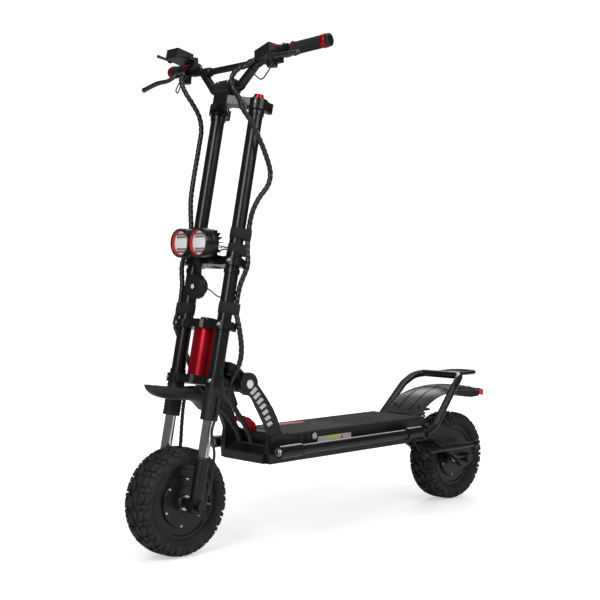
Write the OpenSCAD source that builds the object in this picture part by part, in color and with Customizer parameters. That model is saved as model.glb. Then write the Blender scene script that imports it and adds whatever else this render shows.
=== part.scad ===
// Electric kick scooter, dual-stem off-road type, in millimetres.
// +X is forward, +Y is the rider's left, +Z is up.
// The origin is on the ground, under the centre of the overall box.

/* [Overall] */
// Overall length, front tyre edge to tail light tip
length = 1420; // [1410:5:1430]
// Distance between the axles
wheelbase = 1101; // [1096:1:1106]
// Overall width over the handlebar ends
bar_w = 644; // [634:2:654]

/* [Wheels] */
// Tyre outer diameter
tyre_d = 280; // [276:1:280]
// Tyre section width
tyre_w = 98; // [90:1:98]
// Hub motor cover radius
cover_r = 66; // [60:1:70]
// Axle radius
axle_r = 10; // [8:0.5:10]
// Brake disc radius
disc_r = 70; // [60:1:70]

/* [Fork and stem] */
// Backward lean of the fork and the stem, degrees
lean = 11.6; // [11:0.1:12]
// Distance between the two stem tubes
stem_gap = 156; // [154:1:158]
// Stem tube radius
stem_r = 18.5; // [18:0.1:19]
// Polished stanchion radius
stanchion_r = 14.5; // [13:0.1:14.5]
// Ribbed sleeve radius
sleeve_r = 22; // [21:0.5:22]
// Red head tube radius
head_r = 33; // [30:1:33]
// Handlebar radius at the grips
bar_r = 11.1; // [10.5:0.1:11.5]

/* [Deck] */
// Height of the deck's underside
deck_z = 218; // [216:1:220]
// Height of the standing surface
deck_top = 292; // [290:1:294]
// Deck box width
deck_w = 200; // [196:1:200]
// Side rail radius
rail_r = 13; // [12:0.5:14]

/* [Colours] */
// Painted and anodised black parts
black = "#1c1c1e"; // ["#1c1c1e", "#303034"]
// Rubber parts
rubber = "#111111"; // ["#111111", "#222222"]
// Anodised red parts
red = "#b3121d"; // ["#b3121d", "#8c1010"]
// Bare and plated metal
silver = "#c9ccd0"; // ["#c9ccd0", "#a0a4a8"]

/* [Hidden] */
$fn = 64;

// Thin clearances: a running fit, a bore round the bar, and a plain gap between bodies
fit = 0.05;
bar_fit = 0.4;
gap = 0.5;
// A ball at a lever's bend stands this far proud of the lever
joint_swell = 0.4;

tyre_r = tyre_d / 2;
front_x = length / 2 - tyre_r;
rear_x = front_x - wheelbase;
half_gap = stem_gap / 2;
half_deck = deck_w / 2;

// Levels along the leaned fork axis, counted from the front axle
leg_top = 115;
sleeve_bottom = 215;
sleeve_top = 303;
clamp_h = 22;
clamp_levels = [449, 616];
crown_level = 1041;
crown_drop = 6;
tube_top = 1063;
spring_bottom = 366;
spring_top = 519;
steer_back = 12;
shaft_r = 15;

// Fold pivot in the side plane, and the arms that hold it
pivot = [404, 436];
arm_in = 82;
arm_out = 96;

// Handlebar route for the left half; the bar is thicker over its first thick_points
bar_route = [
    [397, 0, 1215], [397, 50, 1215], [388, 105, 1266], [376, 140, 1286], [359, 200, 1296],
    [332, bar_w / 2, 1308]
];
thick_points = 3;
bar_thick_r = 14;
bar_sides = 20;
grip_start = bar_route[4] + (bar_route[5] - bar_route[4]) * 0.11;

// Rear hoop route for the left half, from the middle plane outwards
hoop_route = [[-505, 0, 402], [-505, 74, 402], [-478, 93, 395], [-440, 103, 370], [-330, 116, 258], [-284, 118, 240]];
hoop_r = 11.5;
hoop_sides = 20;
rail_y = 135;
rail_z = 254;

// Kickstand pivot and the tilt of its pin
stand_at = [-283, 122, 186];
stand_tilt = 51;
stand_len = 245;

// Charging port places on the deck's left face
port_xs = [223, 195];
port_z = 277;

// Hand-chosen cable routes
neck_route_left = [
    [448, 80, 452], [444, 66, 430], [428, 48, 404], [402, 32, 372], [372, 26, 336], [346, 24, 300],
    [332, 24, 266]
];
cable_left_route = concat([
    [412, 92, 1262], [420, 76, 1258], [428, 62, 1244], [432, 58, 1224], [428, 66, 1200],
    [430, 88, 1176], [438, 108, 1150], [416, 118, 1115], [396, 122, 1080], [370, 122, 1034],
    [352, 120, 991], [358, 118, 956], [384, 112, 921], [400, 104, 885], [406, 97, 840],
    [416, 102, 790], [423, 110, 745], [438, 97, 690], [449, 96, 632], [449, 107, 585],
    [441, 106, 545], [440, 104, 510], [444, 96, 480]
], neck_route_left);
cable_right_route = concat([
    [432, -150, 1258], [436, -144, 1240], [430, -134, 1215], [416, -124, 1188], [396, -120, 1155],
    [390, -118, 1118], [400, -116, 1070], [414, -112, 1020], [427, -110, 965], [434, -109, 924],
    [437, -106, 883], [440, -101, 840], [450, -106, 790], [461, -114, 745], [470, -102, 690],
    [478, -104, 632], [484, -114, 590], [470, -109, 545], [454, -102, 500]
], [for (p = neck_route_left) [p[0], -p[1], p[2]]]);
front_cable_route = [
    [500, -46, 420], [506, -50, 384], [508, -56, 330], [510, -60, 271], [524, -59, 210],
    [548, -58, 168]
];
front_hose_route = [
    [516, 105, 410], [524, 105, 366], [538, 104, 322], [530, 104, 272], [534, 104, 238],
    [542, 104, 193], [552, 106, 166]
];
cable_r = 7;
motor_cable_r = 5;
hose_r = 3.5;
cable_sides = 10;
hose_sides = 8;

// ---------- Shared modules ----------

module at_fork(t) {
    translate([front_x, 0, tyre_r])
        rotate([0, -lean, 0])
            translate([0, 0, t])
                children();
}

module at_steer(t) {
    at_fork(t)
        translate([-steer_back, 0, 0])
            children();
}

module both_sides() {
    for (side = [-1, 1])
        translate([0, side * half_gap, 0])
            children();
}

module mirrored_y() {
    children();
    mirror([0, 1, 0])
        children();
}

module side_plate(points, y_low, y_high) {
    translate([0, y_high, 0])
        rotate([90, 0, 0])
            linear_extrude(y_high - y_low)
                polygon(points);
}

module y_rod(x, z, r, y_low, y_high) {
    translate([x, y_high, z])
        rotate([90, 0, 0])
            cylinder(r = r, h = y_high - y_low);
}

module x_rod(y, z, r, x_low, x_high) {
    translate([x_low, y, z])
        rotate([0, 90, 0])
            cylinder(r = r, h = x_high - x_low);
}

module rod(a, b, r) {
    v = b - a;
    translate(a)
        rotate([0, acos(v[2] / norm(v)), atan2(v[1], v[0])])
            cylinder(r = r, h = norm(v));
}

module box(low, high) {
    translate(low)
        cube(high - low);
}

module ring(r_out, r_in, h) {
    difference() {
        cylinder(r = r_out, h = h);
        translate([0, 0, -1])
            cylinder(r = r_in, h = h + 2);
    }
}

// Route with its corners rounded off, cut back by at most cut on each side
function corner(a, b, c, cut, steps) =
    let (
        reach = min(cut, 0.45 * norm(a - b), 0.45 * norm(c - b)),
        s = b + reach * (a - b) / norm(a - b),
        e = b + reach * (c - b) / norm(c - b)
    )
    [for (k = [0 : steps]) let (t = k / steps) s * (1 - t) * (1 - t) + b * 2 * t * (1 - t) + e * t * t];
function rounded(p, cut, steps = 5) = concat(
    [p[0]],
    [for (i = [1 : len(p) - 2]) each corner(p[i - 1], p[i], p[i + 1], cut, steps)],
    [p[len(p) - 1]]
);
function both_halves(left) = concat(
    [for (i = [len(left) - 1 : -1 : 0]) if (abs(left[i][1]) > 0.01) [left[i][0], -left[i][1], left[i][2]]],
    left
);

// Swept tube along a route: one ring per point, square to the route there.
// The route never runs along ref, which fixes where each ring starts.
function heading(p, i) =
    let (a = p[max(i - 1, 0)], b = p[min(i + 1, len(p) - 1)])
    (b - a) / norm(b - a);
function side_of(d, ref) =
    let (s = cross(d, ref))
    s / norm(s);
function ring_at(p, i, r, n, ref) =
    let (d = heading(p, i), u = side_of(d, ref), v = cross(d, u))
    [for (k = [0 : n - 1]) p[i] + r * cos(360 * k / n) * u + r * sin(360 * k / n) * v];

module swept_tube(p, r, n, ref) {
    rings = [for (i = [0 : len(p) - 1]) each ring_at(p, i, r, n, ref)];
    walls = [
        for (i = [0 : len(p) - 2])
            for (k = [0 : n - 1])
                [i * n + k, (i + 1) * n + k, (i + 1) * n + (k + 1) % n, i * n + (k + 1) % n]
    ];
    first_end = [for (k = [0 : n - 1]) k];
    last_end = [for (k = [n - 1 : -1 : 0]) (len(p) - 1) * n + k];
    polyhedron(rings, concat(walls, [first_end, last_end]), convexity = 6);
}

// Coil spring along +Z, wound from a helix of round wire
module coil(r, wire, h, turns) {
    steps = 10;
    count = turns * steps;
    helix = [
        for (i = [0 : count])
            [r * cos(360 * i / steps), r * sin(360 * i / steps), wire + (h - 2 * wire) * i / count]
    ];
    swept_tube(helix, wire, 6, [0, 0, 1]);
}

// ---------- Wheels ----------

module tyre() {
    half = tyre_w / 2;
    outer = [[97, 30], [104, half - 5], [116, half], [128, half - 1], [136, half - 7], [tyre_r, half - 17]];
    inner = [[132, 30], [127, half - 7], [116, half - 6], [107, half - 11], [101, 30]];
    mirrored_inner = [for (i = [len(inner) - 1 : -1 : 0]) [inner[i][0], -inner[i][1]]];
    mirrored_outer = [for (i = [len(outer) - 1 : -1 : 0]) [outer[i][0], -outer[i][1]]];
    rotate([90, 0, 0])
        rotate_extrude($fn = 120)
            polygon(concat(outer, mirrored_outer, mirrored_inner, inner));
}

module hub() {
    flange_r = 95.5;
    well_r = 90;
    half_in = 24;
    difference() {
        union() {
            y_rod(0, 0, well_r, -26, 26);
            y_rod(0, 0, flange_r, 28, 32);
            y_rod(0, 0, flange_r, -32, -28);
            y_rod(0, 0, cover_r, -33, 33);
            y_rod(0, 0, 92, -32, 32);
            y_rod(0, 0, 18, -38, 38);
            for (i = [0 : 5])
                rotate([0, 60 * i + 20, 0])
                    y_rod(cover_r - 6, 0, 3.2, -34, 34);
        }
        for (side = [-1, 1])
            translate([0, side * 34, 0])
                rotate([90, 0, 0])
                    difference() {
                        cylinder(r = 86, h = 14, center = true);
                        cylinder(r = cover_r, h = 16, center = true);
                    }
        y_rod(0, 0, 78, -half_in, half_in);
        y_rod(0, 0, axle_r + fit, -50, 50);
    }
}

module axle(reach) {
    y_rod(0, 0, axle_r, -reach, reach);
    difference() {
        y_rod(0, 0, 74, -20, 20);
        for (i = [0 : 17])
            rotate([0, 20 * i, 0])
                y_rod(60, 0, 6, -21, 21);
    }
}

module brake_disc() {
    difference() {
        union() {
            y_rod(0, 0, 24, -43, -33 - gap);
            y_rod(0, 0, disc_r, -45, -43);
        }
        y_rod(0, 0, 18.2, -50, -30);
        for (i = [0 : 11])
            rotate([0, 30 * i, 0])
                y_rod(50, 0, 7, -50, -40);
    }
}

module caliper_body() {
    difference() {
        box([-26, -64, -16], [26, -34, 16]);
        box([-27, -47, -22], [27, -41, 12]);
    }
}

module at_front() {
    translate([front_x, 0, tyre_r])
        children();
}

module at_rear() {
    translate([rear_x, 0, tyre_r])
        children();
}

module front_tyre() {
    color(rubber)
        at_front()
            tyre();
}

module front_hub() {
    color(black)
        at_front()
            hub();
}

module front_disc() {
    color(silver)
        at_front()
            brake_disc();
}

module rear_tyre() {
    color(rubber)
        at_rear()
            tyre();
}

module rear_hub() {
    color(black)
        at_rear()
            hub();
}

module rear_disc() {
    color(silver)
        at_rear()
            brake_disc();
}

module front_axle() {
    color(silver)
        at_front() {
            axle(104);
            for (side = [-1, 1])
                rotate([0, 0, side * 90 - 90]) {
                    y_rod(0, 0, 14, 95 + gap, 107);
                    y_rod(0, 0, 14, 47, 60.5);
                }
        }
}

module rear_axle() {
    color(silver)
        at_rear() {
            axle(96);
            for (side = [-1, 1])
                rotate([0, 0, side * 90 - 90]) {
                    y_rod(0, 0, 15, 82 + gap, 99);
                    y_rod(0, 0, 14, 47, 64);
                }
        }
}

module front_caliper() {
    color(black)
        at_fork(0)
            rotate([0, -70, 0])
                translate([0, 0, 66])
                    caliper_body();
}

module rear_caliper() {
    color(black)
        at_rear()
            rotate([0, -64, 0])
                translate([0, 0, 66])
                    caliper_body();
}

// ---------- Fork ----------

module fork_legs() {
    color(black)
        difference() {
            union() {
                at_fork(0)
                    both_sides()
                        cylinder(r = 17, h = leg_top);
                mirrored_y()
                    at_front()
                        y_rod(0, 0, 23, 66, 90);
                at_fork(0)
                    rotate([0, -70, 0])
                        box([-14, -84, 10], [14, -64 - gap, 80]);
            }
            at_front()
                y_rod(0, 0, axle_r + fit, -120, 120);
            at_fork(80)
                both_sides()
                    cylinder(r = stanchion_r + fit, h = 60);
        }
}

module stanchions() {
    color(silver)
        at_fork(80)
            both_sides()
                cylinder(r = stanchion_r, h = spring_bottom - 1 - 80);
}

module fork_springs() {
    color(silver)
        at_fork(spring_bottom)
            both_sides()
                coil(11, 2, spring_top - spring_bottom, 8);
}

module stem_tubes() {
    color(black)
        at_fork(0)
            both_sides()
                difference() {
                    union() {
                        translate([0, 0, sleeve_bottom])
                            cylinder(r = stem_r, h = tube_top - sleeve_bottom);
                        translate([0, 0, sleeve_bottom])
                            cylinder(r = sleeve_r, h = sleeve_top - sleeve_bottom);
                    }
                    translate([0, 0, sleeve_bottom - 1])
                        cylinder(r = stanchion_r + fit, h = spring_top + 1 - sleeve_bottom + 1);
                    translate([0, 0, spring_top + 12])
                        cylinder(r = stanchion_r, h = tube_top);
                }
}

module clamp_plan(front) {
    difference() {
        union() {
            for (side = [-1, 1]) {
                translate([0, side * half_gap])
                    circle(r = 27);
                translate([-36, side * (half_gap + 6) - 5])
                    square([30, 10]);
            }
            polygon([
                [-26, -60], [-34, -22], [-34, 22], [-26, 60], [20, 68], [front - 6, 30], [front, 22],
                [front, -22], [front - 6, -30], [20, -68]
            ]);
        }
        for (side = [-1, 1]) {
            translate([0, side * half_gap])
                circle(r = stem_r + 0.1);
            translate([-40, side * (half_gap + 6) - 1])
                square([30, 2]);
        }
    }
}

module pinch_bolts() {
    for (side = [-1, 1])
        translate([-29, side * (half_gap + 6), clamp_h / 2])
            rotate([90, 0, 0])
                cylinder(r = 5, h = 18, center = true);
}

module lower_clamp() {
    color(black)
        at_fork(sleeve_top) {
            linear_extrude(clamp_h)
                clamp_plan(38);
            pinch_bolts();
            translate([-steer_back, 0, 0])
                cylinder(r = shaft_r, h = clamp_levels[0] + clamp_h + 6 - sleeve_top);
        }
}

module upper_clamps() {
    color(black)
        for (level = clamp_levels)
            at_fork(level) {
                difference() {
                    linear_extrude(clamp_h)
                        clamp_plan(34);
                    translate([-steer_back, 0, -1])
                        cylinder(r = shaft_r + 0.2, h = clamp_h + 2);
                }
                pinch_bolts();
                translate([-steer_back, 0, clamp_h])
                    ring(21, shaft_r + 0.3, 8);
            }
}

module crown() {
    block_n = 46;
    color(black)
        at_fork(crown_level) {
            difference() {
                union() {
                    translate([0, 0, -crown_drop]) {
                        both_sides()
                            cylinder(r = 27, h = clamp_h + crown_drop);
                        for (side = [-1, 1])
                            translate([-42, side * (half_gap + 8) - 7, 0])
                                cube([26, 14, clamp_h + crown_drop]);
                    }
                    for (side = [-1, 1])
                        linear_extrude(clamp_h)
                            polygon([
                                [-14, side * 58], [14, side * 94], [64, side * 28], [64, 0], [38, 0]
                            ]);
                    box([block_n - 20, -28, 0], [block_n + 20, 28, 30]);
                }
                both_sides()
                    translate([0, 0, -crown_drop - 1])
                        cylinder(r = stem_r + 0.1, h = 60);
            }
            for (side = [-1, 1])
                translate([-34, side * (half_gap + 8), 8])
                    rotate([90, 0, 0])
                        cylinder(r = 5, h = 20, center = true);
        }
}

module crown_caps() {
    color(red)
        at_fork(tube_top)
            both_sides() {
                cylinder(r = stem_r - 2, h = 6);
                cylinder(r = 13, h = 14);
            }
}

// ---------- Handlebar ----------

module bar_tube(r) {
    swept_tube(rounded(both_halves(bar_route), 18), r, bar_sides, [1, 0, 0]);
}

// The room the bar takes in whatever clamps on it
module bar_room() {
    bar_tube(bar_r + bar_fit);
}

module handlebar() {
    cross_r = 9;
    thick_part = [for (i = [0 : thick_points - 1]) bar_route[i]];
    color(black) {
        bar_tube(bar_r);
        swept_tube(rounded(both_halves(thick_part), 18), bar_thick_r, bar_sides, [1, 0, 0]);
        y_rod(387, 1272, cross_r, -103, 103);
    }
}

module bar_clamp() {
    bar_n = 46.7;
    bar_t = 46.9;
    color("#4a4a4e")
        at_fork(crown_level)
            difference() {
                union() {
                    translate([bar_n, 0, bar_t])
                        rotate([90, 0, 0])
                            cylinder(r = 24, h = 60, center = true);
                    box([bar_n - 20, -30, 30], [bar_n + 20, 30, bar_t]);
                }
                box([bar_n - 50, -40, 0], [bar_n + 50, 40, 30 + 0.2]);
                translate([bar_n, 0, bar_t])
                    rotate([90, 0, 0])
                        cylinder(r = bar_thick_r + 0.3, h = 80, center = true);
            }
}

module left_grip() {
    v = bar_route[5] - grip_start;
    length_in = norm(v) - 0.5;
    translate(grip_start)
        rotate([0, acos(v[2] / norm(v)), atan2(v[1], v[0])])
            difference() {
                union() {
                    cylinder(r = 16.5, h = length_in);
                    cylinder(r = 19, h = 5);
                    translate([0, 0, length_in - 24])
                        cylinder(r = 17.5, h = 13);
                }
                translate([0, 0, -1])
                    cylinder(r = bar_r + 0.3, h = length_in + 2);
            }
}

module grips() {
    color(rubber)
        mirrored_y()
            left_grip();
}

module display() {
    color(black) {
        translate([402, -198, 1327])
            rotate([0, -12, 0])
                cube([56, 50, 28], center = true);
        box([366, -182, 1316], [396, -160, 1324]);
        difference() {
            translate([370, -164, 1290])
                rotate([90, 0, 0])
                    cylinder(r = 18, h = 18, center = true);
            bar_room();
        }
        box([366, -172, 1304], [380, -160, 1322]);
    }
}

pod_at = [378, 146, 1290];
pod_turn = [14, -8, -6];
button_r = 6;

module at_pod() {
    translate(pod_at)
        rotate(pod_turn)
            children();
}

module switch_pod() {
    color(black)
        difference() {
            at_pod()
                cube([52, 62, 30], center = true);
            bar_room();
            at_pod()
                translate([-12, 6, 9.5])
                    cylinder(r = button_r + 0.3, h = 20);
        }
}

module horn_button() {
    color(red)
        at_pod()
            translate([-12, 6, 12.5])
                cylinder(r = button_r, h = 7);
}

// Left perch, with the lever's pivot post at lever_pivot
lever_pivot = [398, 190, 1276];

module left_perch() {
    difference() {
        union() {
            rod([362.5, 187.5, 1294], [359.2, 199.2, 1295.9], 18);
            rod([362, 190, 1292], [381, 190, 1283.2], 9);
            box([382, 180, 1260], [404, 200, 1267]);
            box([382, 180, 1285], [404, 200, 1291]);
            box([378, 180, 1260], [386, 200, 1291]);
        }
        bar_room();
        translate([lever_pivot[0], lever_pivot[1], 1250])
            cylinder(r = 3.4, h = 60);
    }
    translate([lever_pivot[0], lever_pivot[1], 1259])
        cylinder(r = 3, h = 33);
    for (z = [1260.5, 1286.5])
        translate([lever_pivot[0], lever_pivot[1], z])
            cylinder(r = 4.5, h = 3);
}

module lever_perches() {
    color(black)
        mirrored_y()
            left_perch();
}

// A brake lever on the left; grip_reach are the points its blade follows
module lever(grip_reach) {
    difference() {
        union() {
            translate([lever_pivot[0], lever_pivot[1], 1268])
                cylinder(r = 9, h = 16);
            box([399, 186, 1270], [422, 196, 1282]);
            for (i = [0 : len(grip_reach) - 2])
                rod(grip_reach[i], grip_reach[i + 1], 5.5);
            for (i = [1 : len(grip_reach) - 2])
                translate(grip_reach[i])
                    sphere(r = 5.5 + joint_swell);
            translate(grip_reach[len(grip_reach) - 1])
                sphere(r = 7.5);
        }
        translate([lever_pivot[0], lever_pivot[1], 1250])
            cylinder(r = 3 + fit, h = 60);
    }
}

module brake_lever_left() {
    color(black)
        lever([[416, 190, 1276], [424, 212, 1271], [414, 288, 1270]]);
}

module brake_lever_right() {
    color(black)
        mirror([0, 1, 0])
            lever([[416, 190, 1275], [432, 210, 1259], [444, 246, 1254], [452, 295, 1241]]);
}

module throttle_trigger() {
    color(black) {
        translate([412, -227.5, 1320])
            rotate([90, 0, 0])
                cylinder(r = 8, h = 6, center = true);
        rod([414, -229, 1320], [436, -250, 1331], 4);
        translate([436, -250, 1331])
            sphere(r = 5);
    }
}

// ---------- Lamps, horn, fender ----------

module headlights() {
    lamp_y = 37.5;
    lamp_z = 804;
    color(black) {
        for (side = [-1, 1]) {
            difference() {
                x_rod(side * lamp_y, lamp_z, 37, 494, 528);
                x_rod(side * lamp_y, lamp_z, 32, 514, 530);
            }
            x_rod(side * lamp_y, lamp_z, 30, 484, 494);
            x_rod(side * lamp_y, lamp_z, 20, 474, 484);
        }
        box([486, -38, 766], [500, 38, 779]);
        at_fork(clamp_levels[1] + clamp_h + 0.3)
            box([12, -18, 0], [50, 18, 5]);
    }
}

module horn() {
    color(black) {
        x_rod(-15, 691, 32, 482, 500);
        x_rod(-15, 691, 22, 470, 482);
        x_rod(-15, 691, 8, 500, 504);
        box([480.6, -24, 712], [484, -6, 760]);
    }
}

module front_fender() {
    top = [[474, 366], [500, 390], [524, 401], [560, 408], [621, 414], [650, 426], [664, 446]];
    bottom = [for (i = [len(top) - 1 : -1 : 0]) top[i] + [1, -6]];
    color(black) {
        intersection() {
            side_plate(concat(top, bottom), -60, 60);
            translate([0, 0, 340])
                linear_extrude(120)
                    polygon([
                        [470, -30], [520, -46], [580, -44], [630, -28], [664, -3], [664, 3],
                        [630, 28], [580, 44], [520, 46], [470, 30]
                    ]);
        }
        box([500, -22, 398], [530, 22, 434]);
    }
}

// ---------- Neck and head ----------

module neck_block() {
    hub_r = 24;
    color(black)
        difference() {
            union() {
                y_rod(pivot[0], pivot[1], hub_r, -arm_in + gap, arm_in - gap);
                side_plate([
                    [388, 430], [392, 456], [412, 478], [430, 492], [452, 500], [468, 502],
                    [477, 460], [460, 456], [438, 450], [427, 428], [416, 414]
                ], -38, 38);
                side_plate([
                    [384, 446], [388, 460], [406, 476], [424, 488], [440, 494], [447, 480],
                    [444, 464], [434, 457], [420, 452], [404, 440]
                ], -62, 62);
                side_plate([[392, 420], [372, 374], [384, 364], [402, 384], [422, 424]], -14, 14);
            }
            at_steer(300)
                cylinder(r = head_r + 0.1, h = 200);
            y_rod(pivot[0], pivot[1], axle_r + fit, -100, 100);
        }
}

module head_tube() {
    tube_low = sleeve_top + clamp_h + gap;
    tube_high = clamp_levels[0] - gap;
    color(red)
        at_steer(tube_low)
            difference() {
                cylinder(r = head_r, h = tube_high - tube_low);
                translate([0, 0, -1])
                    cylinder(r = shaft_r + 3, h = 200);
                translate([0, 0, -1])
                    cylinder(r = 26.1, h = 13);
                translate([0, 0, tube_high - tube_low - 12])
                    cylinder(r = 26.1, h = 13);
            }
}

module head_bearings() {
    color(silver)
        for (level = [sleeve_top + clamp_h + gap, clamp_levels[0] - gap - 11])
            at_steer(level)
                ring(26, shaft_r + fit, 11);
}

// ---------- Deck ----------

lid_rear = -289;

module deck_tray() {
    wall = 6;
    front = 343;
    nose_back = 261;
    rear = -240;
    color(black)
        difference() {
            union() {
                box([rear, -half_deck, deck_z], [nose_back - gap, half_deck, deck_top - 8]);
                box([nose_back - 4, -arm_in + 0.3, deck_z], [front, arm_in - 0.3, 262]);
                box([nose_back - 4, -arm_in + 0.3, deck_z], [286, arm_in - 0.3, deck_top - 8]);
            }
            box([rear + wall, -half_deck + wall, deck_z + wall], [250, half_deck - wall, deck_top]);
            translate([front + 26, 100, 284])
                rotate([90, 0, 0])
                    cylinder(r = 50, h = 200);
            for (x = port_xs)
                y_rod(x, port_z - 2, 6.5, 80, 110);
        }
}

module deck_lid() {
    color(black)
        difference() {
            union() {
                box([lid_rear, -half_deck + 2, deck_top - 8], [258, half_deck - 2, deck_top - 4]);
                box([250, -80, deck_top - 8], [286, 80, deck_top - 4]);
            }
            for (x = [-280 : 80 : 200])
                for (side = [-1, 1])
                    translate([x, side * 90, deck_top - 10])
                        cylinder(r = 2.6, h = 10);
        }
}

module grip_mat() {
    color(rubber) {
        box([lid_rear, -half_deck + 3, deck_top - 4], [258, half_deck - 3, deck_top]);
        box([258, -80, deck_top - 4], [286, 80, deck_top]);
    }
}

module battery_pack() {
    color("#3b5b8c")
        box([-226, -86, deck_z + 7], [70, 86, deck_top - 14]);
}

module controllers() {
    color(silver)
        for (side = [-1, 1])
            translate([0, side * 46, 0]) {
                box([90, -38, deck_z + 7], [185, 38, deck_z + 34]);
                for (i = [0 : 6])
                    box([94 + 13 * i, -38, deck_z + 34], [98 + 13 * i, 38, deck_z + 44]);
            }
}

module left_rail() {
    socket_r = 17;
    x_rod(rail_y, rail_z, rail_r, -238, 334);
    x_rod(rail_y, rail_z, socket_r, 256, 336);
    x_rod(rail_y, rail_z, socket_r, -240, -176);
    box([268, half_deck + 0.2, rail_z - 11], [328, rail_y - 6, rail_z + 9]);
    box([-236, half_deck + 0.2, rail_z - 11], [-184, rail_y - 6, rail_z + 9]);
    translate([336, rail_y, rail_z])
        rotate([0, 90, 0])
            cylinder(r = 8, h = 5, $fn = 6);
}

module side_rails() {
    color(black)
        mirrored_y()
            left_rail();
}

module left_arm() {
    end_r = 30;
    y_rod(pivot[0], pivot[1], end_r, arm_in, arm_out);
    side_plate([
        [421, 466], [408, 462], [388, 447], [366, 424], [344, 398], [320, 366], [304, 338],
        [292, 306], [286, 297], [261, 288], [261, deck_z], [336, deck_z], [338, 250], [334, 299],
        [346, 328], [367, 363], [387, 396], [404, 412], [424, 428], [430, 448]
    ], arm_in, arm_out);
    side_plate([[261, deck_z], [336, deck_z], [338, 250], [332, 290], [286, 297], [261, 288]],
        arm_out - 1, half_deck);
}

module neck_arms() {
    color(black)
        difference() {
            mirrored_y()
                left_arm();
            y_rod(pivot[0], pivot[1], axle_r + 0.1, -120, 120);
        }
}

module fold_pivot_bolt() {
    color(silver) {
        y_rod(pivot[0], pivot[1], axle_r, -arm_out - 1, arm_out + 1);
        y_rod(pivot[0], pivot[1], 12, arm_out + 0.3, arm_out + 3);
        y_rod(pivot[0], pivot[1], 8, -arm_out - 20, -arm_out);
        y_rod(pivot[0], pivot[1], 13, -arm_out - 4, -arm_out - 0.3);
        y_rod(pivot[0], pivot[1], 12, -arm_out - 24, -arm_out - 16);
    }
}

module fold_lever() {
    color(red)
        difference() {
            union() {
                y_rod(pivot[0], pivot[1], 15, -arm_out - 15, -arm_out - 5);
                side_plate([[392, 428], [412, 424], [386, 366], [372, 362], [366, 372]],
                    -arm_out - 13, -arm_out - 7);
            }
            y_rod(pivot[0], pivot[1], 8 + fit, -arm_out - 30, -arm_out);
        }
}

module fold_latch() {
    color(red)
        side_plate([
            [304, 297], [310, 318], [330, 334], [352, 342], [362, 338], [358, 328], [336, 318],
            [324, 297]
        ], -14, 14);
    color(silver)
        y_rod(318, 312, 4, -17, 17);
}

module side_fittings() {
    color(silver) {
        for (x = port_xs)
            translate([x, 0, port_z - 2])
                rotate([-90, 0, 0])
                    translate([0, 0, half_deck - 14])
                        ring(6.4, 4.5, 13.5);
        y_rod(172, port_z - 1, 8, half_deck + 0.1, half_deck + 4);
        box([23, half_deck + 0.1, 259], [158, half_deck + 1, 275]);
    }
}

module port_cap(x) {
    hinge_z = port_z + 8;
    color(rubber) {
        y_rod(x, port_z - 2, 9, half_deck + gap, half_deck + 3.5);
        box([x - 4, half_deck + gap, port_z - 2], [x + 4, half_deck + 3, hinge_z]);
        x_rod(half_deck + 2, hinge_z, 1.5, x - 4, x + 4);
    }
}

module port_cap_front() {
    port_cap(port_xs[0]);
}

module port_cap_rear() {
    port_cap(port_xs[1]);
}

// ---------- Rear ----------

swing_at = [-318, 260];
// Where the mudguard ends and the tail light begins
tail_x = -648;

module rear_block() {
    color(black) {
        difference() {
            union() {
                box([-300, -half_deck, 226], [-240 - 0.1, half_deck, deck_top - 8]);
                mirrored_y()
                    side_plate([[-298, 232], [-298, 284], [-328, 284], [-338, 268], [-338, 250], [-322, 232]],
                        85, half_deck);
                side_plate([
                    [-294, 276], [-334, 277], [-350, 300], [-380, 300], [-380, 307], [-346, 307],
                    [-329, 284], [-294, 284]
                ], -58, 58);
            }
            y_rod(swing_at[0], swing_at[1], 8 + 0.1, -120, 120);
        }
    }
}

module swingarm_bolt() {
    color(silver) {
        y_rod(swing_at[0], swing_at[1], 8, -half_deck - 1, half_deck + 1);
        for (side = [-1, 1])
            rotate([0, 0, side * 90 - 90])
                y_rod(side * swing_at[0], swing_at[1], 11, half_deck + 0.3, half_deck + 3.8);
    }
}

module swingarm() {
    plate = [
        [-305, 276], [-336, 279], [-430, 248], [-544, 187], [-562, 160], [-562, 122], [-540, 108],
        [-512, 112], [-486, 138], [-410, 184], [-330, 236], [-305, 242]
    ];
    color(black)
        difference() {
            union() {
                mirrored_y()
                    side_plate(plate, 66, 80);
                y_rod(swing_at[0], swing_at[1], 13, -84.5, 84.5);
                box([-380, -70, 216], [-352, 70, 246]);
            }
            y_rod(swing_at[0], swing_at[1], 8 + fit, -120, 120);
            y_rod(rear_x, tyre_r, axle_r + fit, -120, 120);
        }
    color(black)
        at_rear()
            rotate([0, -64, 0])
                box([-14, -79, 24], [14, -64.5, 84]);
}

module rear_springs() {
    color(red)
        for (side = [-1, 1])
            translate([-366, side * 34, 246.5])
                coil(12, 2.5, 53, 5);
}

module rear_hoop() {
    color(black) {
        swept_tube(rounded(both_halves(hoop_route), 30), hoop_r, hoop_sides, [0, 0, 1]);
        mirrored_y()
            y_rod(-284, 240, 17, half_deck + 0.2, 118);
    }
}

module cargo_rack() {
    wire = 6;
    half = 46;
    height = 404;
    loop_left = [[-645, 0, height], [-645, half - 22, height], [-620, half, height], [-519, half, height]];
    color(black) {
        swept_tube(rounded(both_halves(loop_left), 12), wire, 16, [0, 0, 1]);
        for (x = [-550, -580, -608])
            box([x - 8, 2 - half, height - 3], [x + 8, half - 2, height + 2]);
    }
}

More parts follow.
